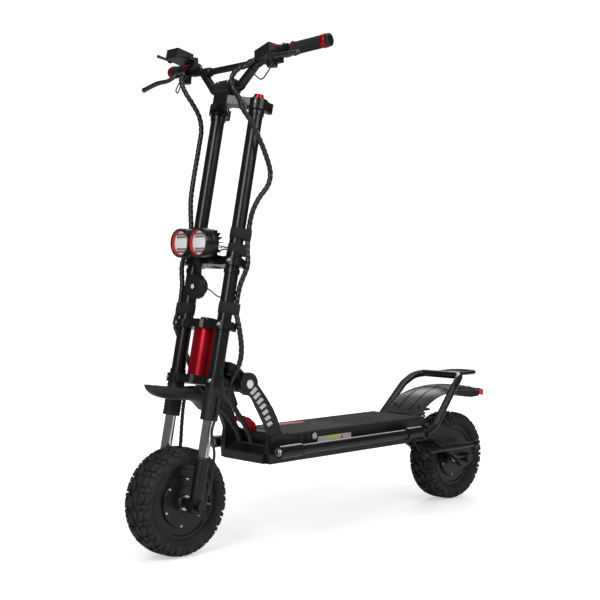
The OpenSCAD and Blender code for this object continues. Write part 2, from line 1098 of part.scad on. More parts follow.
module mudguard() {
    top = [
        [-302, 294], [-350, 326], [-395, 350], [-450, 364], [-515, 369], [-600, 361], [tail_x, 351]
    ];
    bottom = [for (i = [len(top) - 1 : -1 : 0]) top[i] - [0, 6]];
    color(black) {
        intersection() {
            side_plate(concat(top, bottom), -75, 75);
            translate([0, 0, 280])
                linear_extrude(110)
                    polygon([
                        [-300, -70], [-420, -75], [-560, -70], [-640, -50], [-660, -46], [-660, 46],
                        [-640, 50], [-560, 70], [-420, 75], [-300, 70]
                    ]);
        }
        mirrored_y()
            side_plate([[-440, 356], [-520, 362], [-600, 354], [-612, 334], [-560, 330], [-500, 344]], 54, 60);
    }
}

module tail_light() {
    color(red)
        intersection() {
            side_plate([
                [tail_x - 0.3, 351], [tail_x - 0.3, 330], [-676, 325], [-length / 2, 322],
                [-length / 2, 332], [-682, 343]
            ], -50, 50);
            translate([0, 0, 300])
                linear_extrude(80)
                    polygon([
                        [-640, -47], [tail_x, -47], [-680, -38], [-length / 2, -16], [-length / 2, 16],
                        [-680, 38], [tail_x, 47], [-640, 47]
                    ]);
        }
}

module at_stand() {
    translate(stand_at)
        rotate([-stand_tilt, 0, 0])
            children();
}

module kickstand_bracket() {
    color(black) {
        box([-300, 66, 218], [-262, 99.9, 225.8]);
        at_stand()
            difference() {
                union() {
                    translate([0, 0, -14])
                        cylinder(r = 16, h = 8);
                    translate([-12, -54, -14])
                        cube([24, 54, 8]);
                }
                translate([0, 0, -30])
                    cylinder(r = 5, h = 60);
            }
        at_stand()
            translate([0, 0, -14])
                cylinder(r = 5, h = 34);
    }
}

module kickstand() {
    color(black)
        at_stand() {
            difference() {
                translate([0, 0, -5.5])
                    cylinder(r = 14, h = 14);
                translate([0, 0, -30])
                    cylinder(r = 5 + fit, h = 60);
            }
            difference() {
                rod([-8, 0, 3], [-stand_len, 0, 4], 8);
                translate([0, 0, -30])
                    cylinder(r = 9, h = 60);
            }
            rod([-stand_len + 14, 0, 4], [-stand_len, 0, 4], 11);
        }
}

// ---------- Cables ----------

module cable_left() {
    color(rubber)
        swept_tube(cable_left_route, cable_r, cable_sides, [1, 0, 0]);
}

module cable_right() {
    color(rubber)
        swept_tube(cable_right_route, cable_r, cable_sides, [1, 0, 0]);
}

module front_cables() {
    color(rubber) {
        swept_tube(front_cable_route, motor_cable_r, hose_sides, [0, 1, 0]);
        swept_tube(front_hose_route, hose_r, hose_sides, [0, 1, 0]);
    }
}

// ---------- Assembly ----------

deck_tray();
deck_lid();
grip_mat();
battery_pack();
controllers();
side_rails();
neck_arms();
fold_pivot_bolt();
fold_latch();
rear_block();
rear_hoop();
cargo_rack();
mudguard();
tail_light();
swingarm_bolt();
side_fittings();
kickstand_bracket();
kickstand();
port_cap_front();
port_cap_rear();
fold_lever();
swingarm();
rear_axle();
rear_caliper();
rear_springs();
rear_tyre();
rear_hub();
rear_disc();
neck_block();
head_tube();
head_bearings();
lower_clamp();
upper_clamps();
crown();
crown_caps();
stem_tubes();
fork_springs();
handlebar();
bar_clamp();
grips();
display();
switch_pod();
lever_perches();
headlights();
horn();
front_fender();
brake_lever_left();
brake_lever_right();
throttle_trigger();
horn_button();
fork_legs();
stanchions();
front_axle();
front_caliper();
front_cables();
front_tyre();
front_hub();
front_disc();
cable_left();
cable_right();
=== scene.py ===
"""Looks of the off-road electric kick scooter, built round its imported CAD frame."""

import math

import bmesh
import bpy
import numpy as np
from mathutils import Matrix, Vector


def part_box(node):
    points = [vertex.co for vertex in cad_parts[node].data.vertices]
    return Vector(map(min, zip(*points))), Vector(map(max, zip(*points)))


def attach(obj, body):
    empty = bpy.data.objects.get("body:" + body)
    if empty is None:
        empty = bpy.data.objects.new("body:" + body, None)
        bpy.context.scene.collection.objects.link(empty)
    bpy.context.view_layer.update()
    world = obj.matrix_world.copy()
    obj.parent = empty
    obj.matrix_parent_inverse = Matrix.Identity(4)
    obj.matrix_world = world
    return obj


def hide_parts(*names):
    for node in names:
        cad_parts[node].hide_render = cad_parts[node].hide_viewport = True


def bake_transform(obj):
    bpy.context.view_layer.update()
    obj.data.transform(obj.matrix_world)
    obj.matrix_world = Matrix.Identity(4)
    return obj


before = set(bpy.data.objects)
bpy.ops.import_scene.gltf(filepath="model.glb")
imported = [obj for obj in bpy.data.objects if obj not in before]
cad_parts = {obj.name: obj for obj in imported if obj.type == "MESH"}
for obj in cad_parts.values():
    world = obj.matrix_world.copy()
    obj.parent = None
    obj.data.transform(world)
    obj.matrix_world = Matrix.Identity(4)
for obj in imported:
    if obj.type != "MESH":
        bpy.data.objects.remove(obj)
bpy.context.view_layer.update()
MM = 0.001


# ---------- Places, in millimetres like the CAD source ----------


def middle(node):
    """The middle of a CAD node's box, in millimetres."""
    low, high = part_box(node)
    return (Vector(low) + Vector(high)) / 2 / MM


X_AXIS, Y_AXIS, Z_AXIS = (1, 0, 0), (0, 1, 0), (0, 0, 1)
SIDES = ((1, "left"), (-1, "right"))
FRONT = middle("front_hub")
REAR = middle("rear_hub")
PIVOT = middle("fold_pivot_bolt")
WHEEL_R = 140
TUBE_Y = 78  # from the middle plane to each stem tube
LEAN = math.radians(11.6)
FORK_TURN = Matrix.Rotation(-LEAN, 4, "Y")
FORK_UP = FORK_TURN @ Vector(Z_AXIS)


def fork(n, y, t):
    """A point n forward of the leaned fork axis, y to the left, and t along it from the front axle."""
    return FRONT + FORK_TURN @ Vector((n, y, t))


# ---------- Materials ----------

RELIEF = 0.0006  # the depth of a full bump, in metres


def put(node, **values):
    """Sets a shader node's inputs by their names, with _ for each space."""
    for key, value in values.items():
        node.inputs[key.replace("_", " ")].default_value = value


def noise(nodes, links, coord, scale, detail):
    """A noise texture in the object's own coordinates."""
    texture = nodes.new("ShaderNodeTexNoise")
    put(texture, Scale=scale, Detail=detail)
    links.new(coord.outputs["Object"], texture.inputs["Vector"])
    return texture


def surface(name, dark, light, rough=(0.35, 0.5), metal=0.0, grain=500.0, bump=0.08, patch=9.0, **fixed):
    """A procedural material: patches drift from dark to light, and grain drives roughness and bump."""
    mat = bpy.data.materials.new(name)
    mat.use_nodes = True
    nodes, links = mat.node_tree.nodes, mat.node_tree.links
    shader = nodes["Principled BSDF"]
    put(shader, Metallic=metal, **fixed)
    coord = nodes.new("ShaderNodeTexCoord")
    broad = noise(nodes, links, coord, patch, 5)
    fine = noise(nodes, links, coord, grain, 3)
    ramp = nodes.new("ShaderNodeValToRGB")
    for stop, position, colour in zip(ramp.color_ramp.elements, (0.3, 0.7), (dark, light)):
        stop.position = position
        stop.color = (*colour, 1)
    links.new(broad.outputs["Fac"], ramp.inputs["Fac"])
    links.new(ramp.outputs["Color"], shader.inputs["Base Color"])
    spread = nodes.new("ShaderNodeMapRange")
    put(spread, To_Min=rough[0], To_Max=rough[1])
    links.new(fine.outputs["Fac"], spread.inputs["Value"])
    links.new(spread.outputs[0], shader.inputs["Roughness"])
    relief = nodes.new("ShaderNodeBump")
    put(relief, Strength=bump, Distance=RELIEF)
    links.new(fine.outputs["Fac"], relief.inputs["Height"])
    links.new(relief.outputs["Normal"], shader.inputs["Normal"])
    return mat


def grey(v):
    """A neutral colour of that brightness."""
    return (v, v, v)


paint = surface("painted_black", grey(0.005), grey(0.009), (0.30, 0.42), bump=0.10, grain=900)
satin = surface("satin_black", grey(0.006), grey(0.010), (0.22, 0.34), metal=0.2, bump=0.05, grain=1200)
rubber = surface("tyre_rubber", grey(0.008), grey(0.020), (0.62, 0.85), bump=0.45, grain=650, patch=22)
mat_rubber = surface("mat_rubber", grey(0.012), grey(0.020), (0.55, 0.75), bump=0.5, grain=900)
grip_foam = surface("grip_foam", grey(0.006), grey(0.012), (0.65, 0.85), bump=0.5, grain=1500)
plastic = surface("black_plastic", grey(0.006), grey(0.011), (0.38, 0.55), bump=0.20, grain=1400)
sleeve = surface("cable_sleeve", grey(0.006), grey(0.012), (0.28, 0.42), bump=0.10, grain=800)
webbing = surface("strap_webbing", grey(0.006), grey(0.012), (0.75, 0.95), bump=0.8, grain=1800)
hub_paint = surface("hub_black", grey(0.008), grey(0.012), (0.22, 0.34), metal=0.2, bump=0.06, grain=900)
red_metal = surface("red_anodised", (0.36, 0.002, 0.010), (0.52, 0.004, 0.018), (0.26, 0.32), metal=0.7,
                    bump=0.01, grain=700)
red_plain = surface("red_plastic", (0.55, 0.012, 0.012), (0.70, 0.02, 0.02), (0.25, 0.4), bump=0.05)
red_mark = surface("red_stripe", (0.50, 0.012, 0.012), (0.62, 0.02, 0.02), (0.45, 0.6), bump=0.3, grain=900)
steel = surface("steel", grey(0.55), grey(0.66), (0.20, 0.36), metal=1.0, bump=0.06, grain=600)
chrome = surface("chrome", grey(0.80), grey(0.88), (0.03, 0.08), metal=1.0, bump=0.01, grain=300)
disc_steel = surface("disc_steel", grey(0.45), grey(0.6), (0.25, 0.4), metal=1.0, bump=0.1, grain=300)
aluminium = surface("bare_aluminium", grey(0.6), grey(0.7), (0.3, 0.45), metal=1.0)
grey_metal = surface("grey_aluminium", grey(0.05), grey(0.08), (0.28, 0.4), metal=0.8, bump=0.05, grain=900)
battery_blue = surface("battery_wrap", (0.02, 0.06, 0.2), (0.03, 0.08, 0.26), (0.3, 0.45))
lens_red = surface("red_lens", (0.72, 0.012, 0.016), (0.85, 0.02, 0.024), (0.12, 0.2), bump=0.1, grain=200)
lamp_white = surface("lamp_reflector", grey(0.55), grey(0.70), (0.15, 0.3), bump=0.3, grain=300,
                     Emission_Color=(1, 1, 1, 1), Emission_Strength=0.22)
led_grey = surface("led_cell", (0.16, 0.14, 0.14), (0.24, 0.22, 0.22), (0.2, 0.35))
brass = surface("valve_brass", (0.5, 0.32, 0.12), (0.62, 0.4, 0.16), (0.25, 0.4), metal=1.0)
plate_silver = surface("data_plate", grey(0.52), grey(0.62), (0.3, 0.4), metal=0.3)
label_yellow = surface("label_yellow", (0.62, 0.55, 0.05), (0.7, 0.6, 0.07), (0.4, 0.5))
label_white = surface("label_white", grey(0.70), grey(0.80), (0.35, 0.5))
arm_grey = surface("arm_mark_grey", grey(0.48), grey(0.58), (0.35, 0.5))
screen = surface("display_screen", grey(0.006), grey(0.010), (0.08, 0.14), bump=0.01)


# ---------- Mesh helpers ----------

BEVEL_FROM = math.radians(35)
AXIS_R = 0.01  # a lathe's point on its axis stands this far off it, so that each ring keeps its corners
CURVE_PARTS = 24  # parts between two points of a smooth route, before it is cut into even steps
BEND_REACH = 0.48  # the largest share of a straight run that one bend may take
BLADE_UNDER = 0.985  # how wide a blade's underside is, as a share of its top


def finish_mesh(name, mesh, mat, body, sharp=38, replaces=(), slot=None, bevel=0.0):
    mesh.materials.append(mat)
    mesh.polygons.foreach_set("use_smooth", [True] * len(mesh.polygons))
    mesh.set_sharp_from_angle(angle=math.radians(sharp))
    piece = bpy.data.objects.new(name, mesh)
    bpy.context.scene.collection.objects.link(piece)
    if bevel:
        add_bevel(piece, bevel)
    if body:
        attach(piece, body)
    if replaces:
        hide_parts(*replaces)
    return piece


def add_bevel(piece, width):
    """Rounds the hard edges by width, in millimetres."""
    soft = piece.modifiers.new("edges", "BEVEL")
    soft.width = width * MM
    soft.segments = 2
    soft.limit_method = "ANGLE"
    soft.angle_limit = BEVEL_FROM


def to_mesh(name, verts, faces):
    """A mesh in metres from places in millimetres, with its faces turned outwards."""
    mesh = bpy.data.meshes.new(name)
    mesh.from_pydata([tuple(Vector(v) * MM) for v in verts], [], faces)
    shape = bmesh.new()
    shape.from_mesh(mesh)
    bmesh.ops.recalc_face_normals(shape, faces=shape.faces)
    shape.to_mesh(mesh)
    shape.free()
    return mesh


class Builder:
    """Collects several closed shapes into one mesh. All sizes are millimetres."""

    def __init__(self):
        self.verts = []
        self.faces = []

    def add(self, verts, faces):
        """Adds one shape, whose faces count its own corners from 0."""
        base = len(self.verts)
        self.verts += [Vector(v) for v in verts]
        self.faces += [tuple(base + i for i in f) for f in faces]

    def loft(self, rings, closed=False):
        """Joins rings of equal count. The ends are capped unless the last ring joins the first."""
        n = len(rings[0])
        verts = [v for ring in rings for v in ring]
        faces = []
        for i in range(len(rings) if closed else len(rings) - 1):
            a, b = i * n, ((i + 1) % len(rings)) * n
            faces += [(a + k, a + (k + 1) % n, b + (k + 1) % n, b + k) for k in range(n)]
        if not closed:
            faces.append(tuple(range(n)))
            faces.append(tuple((len(rings) - 1) * n + k for k in range(n)))
        self.add(verts, faces)

    def lathe(self, profile, origin, axis, segments=64, closed=False):
        """Revolves (radius, height) pairs about axis through origin. A closed profile makes a ring."""
        z = Vector(axis).normalized()
        x = z.orthogonal().normalized()
        y = z.cross(x)
        angles = [2 * math.pi * k / segments for k in range(segments)]
        self.loft([
            [Vector(origin) + z * h + (x * math.cos(a) + y * math.sin(a)) * max(r, AXIS_R) for a in angles]
            for r, h in profile
        ], closed=closed)

    def sweep(self, path, radius, sides=16, groove=None):
        """Sweeps a circle along a path. radius is a number, or a function of the share of the path's points.

        groove(s, angle) scales the radius, where s is the length so far.
        """
        path = [Vector(p) for p in path]
        last = len(path) - 1
        heading = [(path[min(i + 1, last)] - path[max(i - 1, 0)]).normalized() for i in range(last + 1)]
        u = heading[0].orthogonal().normalized()
        rings, run = [], 0.0
        for i, centre in enumerate(path):
            if i:
                run += (centre - path[i - 1]).length
                u = heading[i - 1].rotation_difference(heading[i]) @ u
            v = heading[i].cross(u)
            full = radius(i / last) if callable(radius) else radius
            ring = []
            for k in range(sides):
                a = 2 * math.pi * k / sides
                r = full * (groove(run, a) if groove else 1)
                ring.append(centre + u * (math.cos(a) * r) + v * (math.sin(a) * r))
            rings.append(ring)
        self.loft(rings)

    def prism(self, outline, low, high, axis="Y"):
        """Extrudes an (x, z) outline along Y, or an (x, y) outline along Z."""
        place = (lambda p, h: (p[0], h, p[1])) if axis == "Y" else (lambda p, h: (p[0], p[1], h))
        self.loft([[Vector(place(p, h)) for p in outline] for h in (low, high)])

    def block(self, centre, size, turn=None):
        """A box about its centre, turned about it if turn is given."""
        half = Vector(size) / 2
        corners = [Vector((sx * half.x, sy * half.y, sz * half.z))
                   for sz in (-1, 1) for sx, sy in ((-1, -1), (1, -1), (1, 1), (-1, 1))]
        turn = turn or Matrix.Identity(4)
        self.loft([[Vector(centre) + turn @ c for c in corners[i:i + 4]] for i in (0, 4)])

    def blade(self, stations, thick, steps=10):
        """A curved sheet. Each station is (x, z, half width, droop at the edge)."""
        shares = [2 * k / steps - 1 for k in range(steps + 1)]
        rings = []
        for x, z, half, droop in stations:
            top = [Vector((x, half * u, z - droop * abs(u) ** 3)) for u in shares]
            under, floor = half * BLADE_UNDER, z - thick
            low = [Vector((x, under * u, floor - droop * abs(u) ** 3)) for u in reversed(shares)]
            rings.append(top + low)
        self.loft(rings)

    def socket_bolt(self, at, axis, size):
        """A bolt head. size is its radius and height, the top's height, the rim, the socket and its floor."""
        head, tall, top, rim, socket, floor = size
        profile = [(0, 0), (head, 0), (head, tall), (rim, top), (socket, floor), (0, floor)]
        self.lathe(profile, at, axis, 24)

    def mirror(self):
        """Adds the mirror image across the scooter's middle plane."""
        base = len(self.verts)
        self.verts += [Vector((v.x, -v.y, v.z)) for v in list(self.verts)]
        self.faces += [tuple(base + i for i in reversed(f)) for f in list(self.faces)]

    def piece(self, name, mat, body, **options):
        """Makes what was collected into one piece of the scene."""
        return finish_mesh(name, to_mesh(name, self.verts, self.faces), mat, body, **options)


def smooth_path(points, step):
    """A Catmull-Rom curve through the points, cut into even steps of about that length."""
    p = [Vector(q) for q in points]
    p = [p[0] * 2 - p[1], *p, p[-1] * 2 - p[-2]]
    dense = []
    for i in range(1, len(p) - 2):
        for k in range(CURVE_PARTS):
            t = k / CURVE_PARTS
            dense.append(0.5 * (2 * p[i] + (p[i + 1] - p[i - 1]) * t
                                + (2 * p[i - 1] - 5 * p[i] + 4 * p[i + 1] - p[i + 2]) * t * t
                                + (3 * p[i] - p[i - 1] - 3 * p[i + 1] + p[i + 2]) * t ** 3))
    dense.append(p[-2])
    run = [0.0]
    for a, b in zip(dense, dense[1:]):
        run.append(run[-1] + (b - a).length)
    count = max(int(run[-1] / step), 2)
    places = np.array([tuple(v) for v in dense])
    stops = np.linspace(0, run[-1], count + 1)
    return [Vector([float(np.interp(s, run, places[:, c])) for c in range(3)]) for s in stops]


def bent_path(points, radius, step=4.0):
    """Straight runs joined by quadratic bends, which start and end where an arc of that radius would."""
    p = [Vector(q) for q in points]
    path = [p[0]]
    for before, corner, after in zip(p, p[1:], p[2:]):
        back, on = before - corner, after - corner
        turn = math.pi - back.angle(on)
        cut = min(radius * math.tan(turn / 2), back.length * BEND_REACH, on.length * BEND_REACH)
        start, end = corner + back.normalized() * cut, corner + on.normalized() * cut
        steps = max(int(turn * radius / step), 4)
        for k in range(steps + 1):
            t = k / steps
            path.append(start.lerp(corner, t).lerp(corner.lerp(end, t), t))
    path.append(p[-1])
    return path


def even_stations(points, step):
    """Stations for a blade, step millimetres apart on a smooth curve through the given ones."""
    curve = smooth_path([(x, z, 0) for x, z, _, _ in points], step)
    forward = points if points[-1][0] > points[0][0] else points[::-1]
    xs, _, widths, droops = zip(*forward)
    return [(v.x, v.y, float(np.interp(v.x, xs, widths)), float(np.interp(v.x, xs, droops))) for v in curve]


def flip_y(points):
    """The same route on the other side of the middle plane."""
    return [Vector((v[0], -v[1], v[2])) for v in points]


def mirror_path(left):
    """A whole left-right route from its left half, which starts on the middle plane."""
    return [*reversed(flip_y(left)), *[Vector(v) for v in left[1:]]]


# ---------- Wheels ----------

# Half profiles of the tyre, as (y, r) points from the middle of the tread: over the knobs, and under them.
CROWN = [(0, 140), (16, 139.7), (30, 138.2), (38, 134.5), (44, 129), (47.6, 121), (48.6, 113)]
CARCASS = [
    (0, 133), (16, 132.6), (29, 131), (36, 127.6), (41.5, 122), (45, 115), (45.8, 108), (43.5, 101),
    (37, 96.6), (31, 95.8), (30, 99), (30, 104)
]
BEAD_LINES = (104, 110)
KNOB_PITCHES = 20
KNOB_LEVELS = ((1.05, -0.15), (1.0, 0.25), (0.95, 0.82), (0.80, 1.0))  # scale, and lift from carcass to crown
CENTRE_KNOB_LONG = 25
CENTRE_KNOB_ACROSS = (2, 17)
CENTRE_KNOB_SKEW = 7
SHOULDER_KNOBS = [  # from and to round the tyre, from and to across it, skew and corner
    (4, 30, 21, 37, -3, 5), (31, 42, 19, 33, 2, 3), (6, 27, 41, 57, -2, 5), (30, 41, 37, 50, 0, 3)
]
COVER_Y = 33
COVER_SCREWS = 6
COVER_SCREW_RING = 60
COVER_SCREW_TURN = math.radians(20)


def across(profile, w):
    """The (y, r) point at arc length w from the middle of a half profile; w may be negative."""
    side = -1 if w < 0 else 1
    run = [0.0]
    for a, b in zip(profile, profile[1:]):
        run.append(run[-1] + math.dist(a, b))
    y = float(np.interp(abs(w), run, [q[0] for q in profile]))
    r = float(np.interp(abs(w), run, [q[1] for q in profile]))
    return side * y, r


def on_wheel(centre, angle, y, r):
    """The place y across the wheel and r out from its axle, at that angle forward of the top."""
    return Vector((centre.x + r * math.sin(angle), y, centre.z + r * math.cos(angle)))


def tyre_knob(b, centre, outline):
    """A rubber block from its (s, w) outline: s runs round the tyre and w across it."""
    mid_s = sum(p[0] for p in outline) / len(outline)
    mid_w = sum(p[1] for p in outline) / len(outline)
    rings = []
    for scale, lift in KNOB_LEVELS:
        ring = []
        for s, w in outline:
            around, sideways = mid_s + (s - mid_s) * scale, mid_w + (w - mid_w) * scale
            top_y, top_r = across(CROWN, sideways)
            low_y, low_r = across(CARCASS, sideways)
            y, r = low_y + (top_y - low_y) * lift, low_r + (top_r - low_r) * lift
            ring.append(on_wheel(centre, around / WHEEL_R, y, r))
        rings.append(ring)
    b.loft(rings)


def knob_outline(s0, s1, w0, w1, skew, corner=4):
    """A block leaning by skew. Its corners are cut where w grows outwards, and flared where it falls."""
    raw = [(s0 + corner, w0), (s1 - corner, w0), (s1, w0 + corner), (s1, w1 - corner),
           (s1 - corner, w1), (s0 + corner, w1), (s0, w1 - corner), (s0, w0 + corner)]
    return [(s + skew * (w - w0) / (w1 - w0), w) for s, w in raw]


def knobby_tyre(name, centre, body, node):
    b = Builder()
    left = [(r, y) for y, r in CARCASS]
    right = [(r, -y) for r, y in reversed(left[1:])]
    b.lathe(left + right, centre, Y_AXIS, segments=120, closed=True)
    for level in BEAD_LINES:
        for side in (-1, 1):
            line = [(level - 0.8, side * 45.0), (level, side * 46.8), (level + 0.8, side * 45.0)]
            b.lathe(line, centre, Y_AXIS, segments=120, closed=True)
    pitch = 2 * math.pi * WHEEL_R / KNOB_PITCHES
    for i in range(KNOB_PITCHES):
        for side, shift in ((1, 0.0), (-1, pitch / 2)):
            s = i * pitch + shift
            near, far = (side * w for w in CENTRE_KNOB_ACROSS)
            tyre_knob(b, centre, knob_outline(s, s + CENTRE_KNOB_LONG, near, far, side * CENTRE_KNOB_SKEW))
            for s0, s1, w0, w1, skew, corner in SHOULDER_KNOBS:
                tyre_knob(b, centre, knob_outline(s + s0, s + s1, side * w0, side * w1, skew, corner))
    b.piece(name, rubber, body, replaces=[node], slot="tyre", sharp=30)


def wheel_trim(prefix, centre, body):
    """Cover screws, the ring round the axle, the cover with the rim's bead, and the valve."""
    screws, ring, cover, valve = Builder(), Builder(), Builder(), Builder()
    for side in (-1, 1):
        out = (0, side, 0)
        for i in range(COVER_SCREWS):
            a = 2 * math.pi * i / COVER_SCREWS + COVER_SCREW_TURN
            at = (centre.x + COVER_SCREW_RING * math.cos(a), side * COVER_Y,
                  centre.z - COVER_SCREW_RING * math.sin(a))
            screws.lathe([(0, 0), (3.6, 0), (3.6, 1.2), (2.8, 2.2), (1.6, 2.2), (1.4, 1.0), (0, 1.0)],
                         at, out, 20)
        ring.lathe([(12, 34), (19, 34), (20, 36), (19.4, 38.6), (13, 38.6), (12, 37)],
                   centre, out, 48, closed=True)
        cover.lathe([(22, 33.0), (34, 34.4), (40, 34.4), (46, 33.4), (64.5, 33.4), (66.6, 31), (66.6, 27),
                     (62, 27), (62, 30), (22, 30)], centre, out, 96, closed=True)
        cover.lathe([(84, 27), (86, 30), (90, 31), (94, 32.6), (96, 32.6), (97, 31), (95, 29), (86, 27)],
                    centre, out, 96, closed=True)
    valve.lathe([(0, 0), (5, 0), (5, 2), (3.2, 3), (3, 11), (2.4, 12), (0, 12)],
                (centre.x - 78, 27, centre.z - 14), (-0.35, 1, 0), 20)
    screws.piece(prefix + "_cover_screws", steel, body, slot="steel")
    ring.piece(prefix + "_axle_ring", steel, body, slot="steel")
    cover.piece(prefix + "_rim_and_cover", hub_paint, body, slot="hub_black")
    valve.piece(prefix + "_valve", brass, body)


knobby_tyre("front_knobby_tyre", FRONT, "front_wheel", "front_tyre")
knobby_tyre("rear_knobby_tyre", REAR, "rear_wheel", "rear_tyre")
wheel_trim("front", FRONT, "front_wheel")
wheel_trim("rear", REAR, "rear_wheel")


# ---------- Fork and stem ----------

SLEEVE_ENDS = (214.6, 302.6)
SLEEVE_R = 20.4
RIBS = 11
RIB_PITCH = 7.6
RIB_LOW_R, RIB_HIGH_R = 22.1, 22.9
COLLAR_LEVELS = (325.5, 596, 640, 1020)
STRAPS = ((702, -20, 97), (660, -21, 98), (506, -20, 96), (500, 9, -104))  # t, and the cable's n and y
STRAP_TUBE_R, STRAP_CABLE_R = 19.4, 8.4
STRAP_SIDES = 64
STRAP_RINGS = ((-14.5, -0.6), (-13.5, 0.5), (0, 0.9), (13.5, 0.5), (14.5, -0.6))  # height and extra radius


def along_fork(b, side, profile):
    """Revolves (radius, t) pairs about one stem tube's axis."""
    b.lathe(profile, fork(0, side * TUBE_Y, 0), FORK_UP, 48)


def sleeve_outline():
    """The ribbed sleeve's (radius, t) outline."""
    low, high = SLEEVE_ENDS
    outline = [(SLEEVE_R, low)]
    for i in range(RIBS):
        t = low + 2.4 + RIB_PITCH * i
        outline += [(RIB_LOW_R, t), (RIB_HIGH_R, t + 1.0), (RIB_HIGH_R, t + 4.6), (RIB_LOW_R, t + 5.6)]
    return [*outline, (RIB_LOW_R, high), (SLEEVE_R, high)]


def strap(b, t, n, y):
    """A hook-and-loop strap drawn tight round a stem tube and the cable bundle beside it."""
    tube = Vector((0, math.copysign(TUBE_Y, y), 0))
    to_cable = Vector((n, y, 0)) - tube
    turn = math.atan2(to_cable.y, to_cable.x)
    leave = (STRAP_TUBE_R - STRAP_CABLE_R) / to_cable.length
    rings = []
    for height, grow in STRAP_RINGS:
        ring = []
        for k in range(STRAP_SIDES):
            a = 2 * math.pi * k / STRAP_SIDES
            out = Vector((math.cos(a + turn), math.sin(a + turn), 0))
            round_cable = tube + to_cable + out * (STRAP_CABLE_R + grow)
            round_tube = tube + out * (STRAP_TUBE_R + grow)
            spot = round_cable if math.cos(a) > leave else round_tube
            ring.append(FRONT + FORK_TURN @ (spot + Vector((0, 0, t + height))))
        rings.append(ring)
    b.loft(rings)


ribs, seals, collars, straps = Builder(), Builder(), Builder(), Builder()
for side in (-1, 1):
    along_fork(ribs, side, sleeve_outline())
    along_fork(seals, side, [(14.6, 110), (17.6, 110), (18.4, 112), (18.4, 118), (16.6, 121), (14.7, 121)])
    for t in COLLAR_LEVELS:
        along_fork(collars, side, [(18.5, t), (21, t + 0.6), (21, t + 12), (18.5, t + 13)])
for level, n, y in STRAPS:
    strap(straps, level, n, y)
ribs.piece("fork_sleeve_ribs", plastic, "steering", slot="satin_black")
seals.piece("fork_dust_seals", plastic, "fork_lower", slot="satin_black")
collars.piece("stem_collars", satin, "steering", slot="satin_black")
straps.piece("hook_and_loop_straps", webbing, "steering", sharp=50)


# ---------- Handlebar ----------

BAR = [
    (397, 0, 1215), (397, 50, 1215), (388, 105, 1266), (376, 140, 1286), (359, 200, 1296), (332, 322, 1308)
]
BAR_BEND = 34
BAR_R = 14.2
BAR_TAPER = 3.1
TAPER_FROM, TAPER_SHARE = 0.28, 0.14
CROSSBAR = Vector((387, 0, 1272))
GRIP_FROM = Vector(BAR[-2]).lerp(Vector(BAR[-1]), 0.11)
GRIP_RUN = Vector(BAR[-1]) - GRIP_FROM
GRIP_R = 16.3
FOAM_SHORT = 26  # what the lock ring and the end disc take of the grip's length
FOAM_RINGS, FOAM_SIDES = 92, 72
FOAM_WAVE = 0.55
FOAM_WAVE_RATE, FOAM_WAVES = 0.72, 9  # radians a millimetre along the grip, and waves round it
BAR_BOLT = (4, 4, 4.4, 2.4, 2.2, 2.4)


def bar_radius(share):
    """The bar is thick in the middle and tapers where it rises."""
    out = abs(share - 0.5) * 2
    return BAR_R - BAR_TAPER * min(max((out - TAPER_FROM) / TAPER_SHARE, 0), 1)


def foam_sleeve(origin, axis):
    """The grip's foam: a flange at its inner end, and a fine diamond pattern all over."""
    x = axis.orthogonal().normalized()
    y = axis.cross(x)
    rings = []
    for i in range(FOAM_RINGS + 1):
        h = 1 + (GRIP_RUN.length - FOAM_SHORT) * i / FOAM_RINGS
        flange = 3 * max(0, 1 - h / 6)
        ring = []
        for k in range(FOAM_SIDES):
            a = 2 * math.pi * k / FOAM_SIDES
            along, about = h * FOAM_WAVE_RATE, a * FOAM_WAVES
            r = GRIP_R + flange + FOAM_WAVE * math.cos(along + about) * math.cos(along - about)
            ring.append(origin + axis * h + (x * math.cos(a) + y * math.sin(a)) * r)
        rings.append(ring)
    foam = Builder()
    foam.loft(rings)
    return foam


def grip(side, tag):
    """The foam, the red lock rings at both ends of it, and the disc at the bar's end."""
    origin = Vector((GRIP_FROM.x, side * GRIP_FROM.y, GRIP_FROM.z))
    axis = Vector((GRIP_RUN.x, side * GRIP_RUN.y, GRIP_RUN.z)).normalized()
    end = GRIP_RUN.length
    lock, disc = Builder(), Builder()
    lock.lathe([(11.4, end - 24), (17.4, end - 24), (18, end - 23), (18, end - 12), (17.4, end - 11),
                (11.4, end - 11)], origin, axis, 48)
    lock.lathe([(18.0, 0.6), (19.2, 0.8), (19.2, 3.2), (18.0, 3.4)], origin - axis * 1.2, axis, 48)
    disc.lathe([(11.4, end - 11), (16.6, end - 11), (17, end - 9), (16.8, end - 2.4), (15, end - 0.6),
                (0, end - 0.4)], origin, axis, 48)
    foam_sleeve(origin, axis).piece("grip_" + tag, grip_foam, "steering", replaces=["grips"],
                                    slot="grip_foam", sharp=60)
    lock.piece("grip_lock_ring_" + tag, red_metal, "steering", slot="red_anodised")
    disc.piece("grip_end_disc_" + tag, plastic, "steering", slot="black_plastic")


bar, crossbar, bolts = Builder(), Builder(), Builder()
bar.sweep(bent_path(mirror_path(BAR), BAR_BEND), bar_radius, 32)
bar.piece("riser_handlebar", satin, "steering", replaces=["handlebar"], slot="satin_black")
crossbar.sweep([CROSSBAR + Vector((0, y, 0)) for y in range(-100, 101, 10)], 9, 24)
for side in (-1, 1):
    crossbar.lathe([(9.2, 78), (12.5, 80), (13.5, 90), (13.5, 104), (9, 108)], CROSSBAR, (0, side, 0), 32)
crossbar.piece("handlebar_crossbar", satin, "steering", slot="satin_black")
for side, tag in SIDES:
    grip(side, tag)
for y in (-20, 20):
    for n in (28, 64):
        bolts.socket_bolt(fork(n, y, 1098), FORK_UP, BAR_BOLT)
bolts.piece("bar_clamp_bolts", steel, "steering", slot="steel")


# ---------- Cables ----------

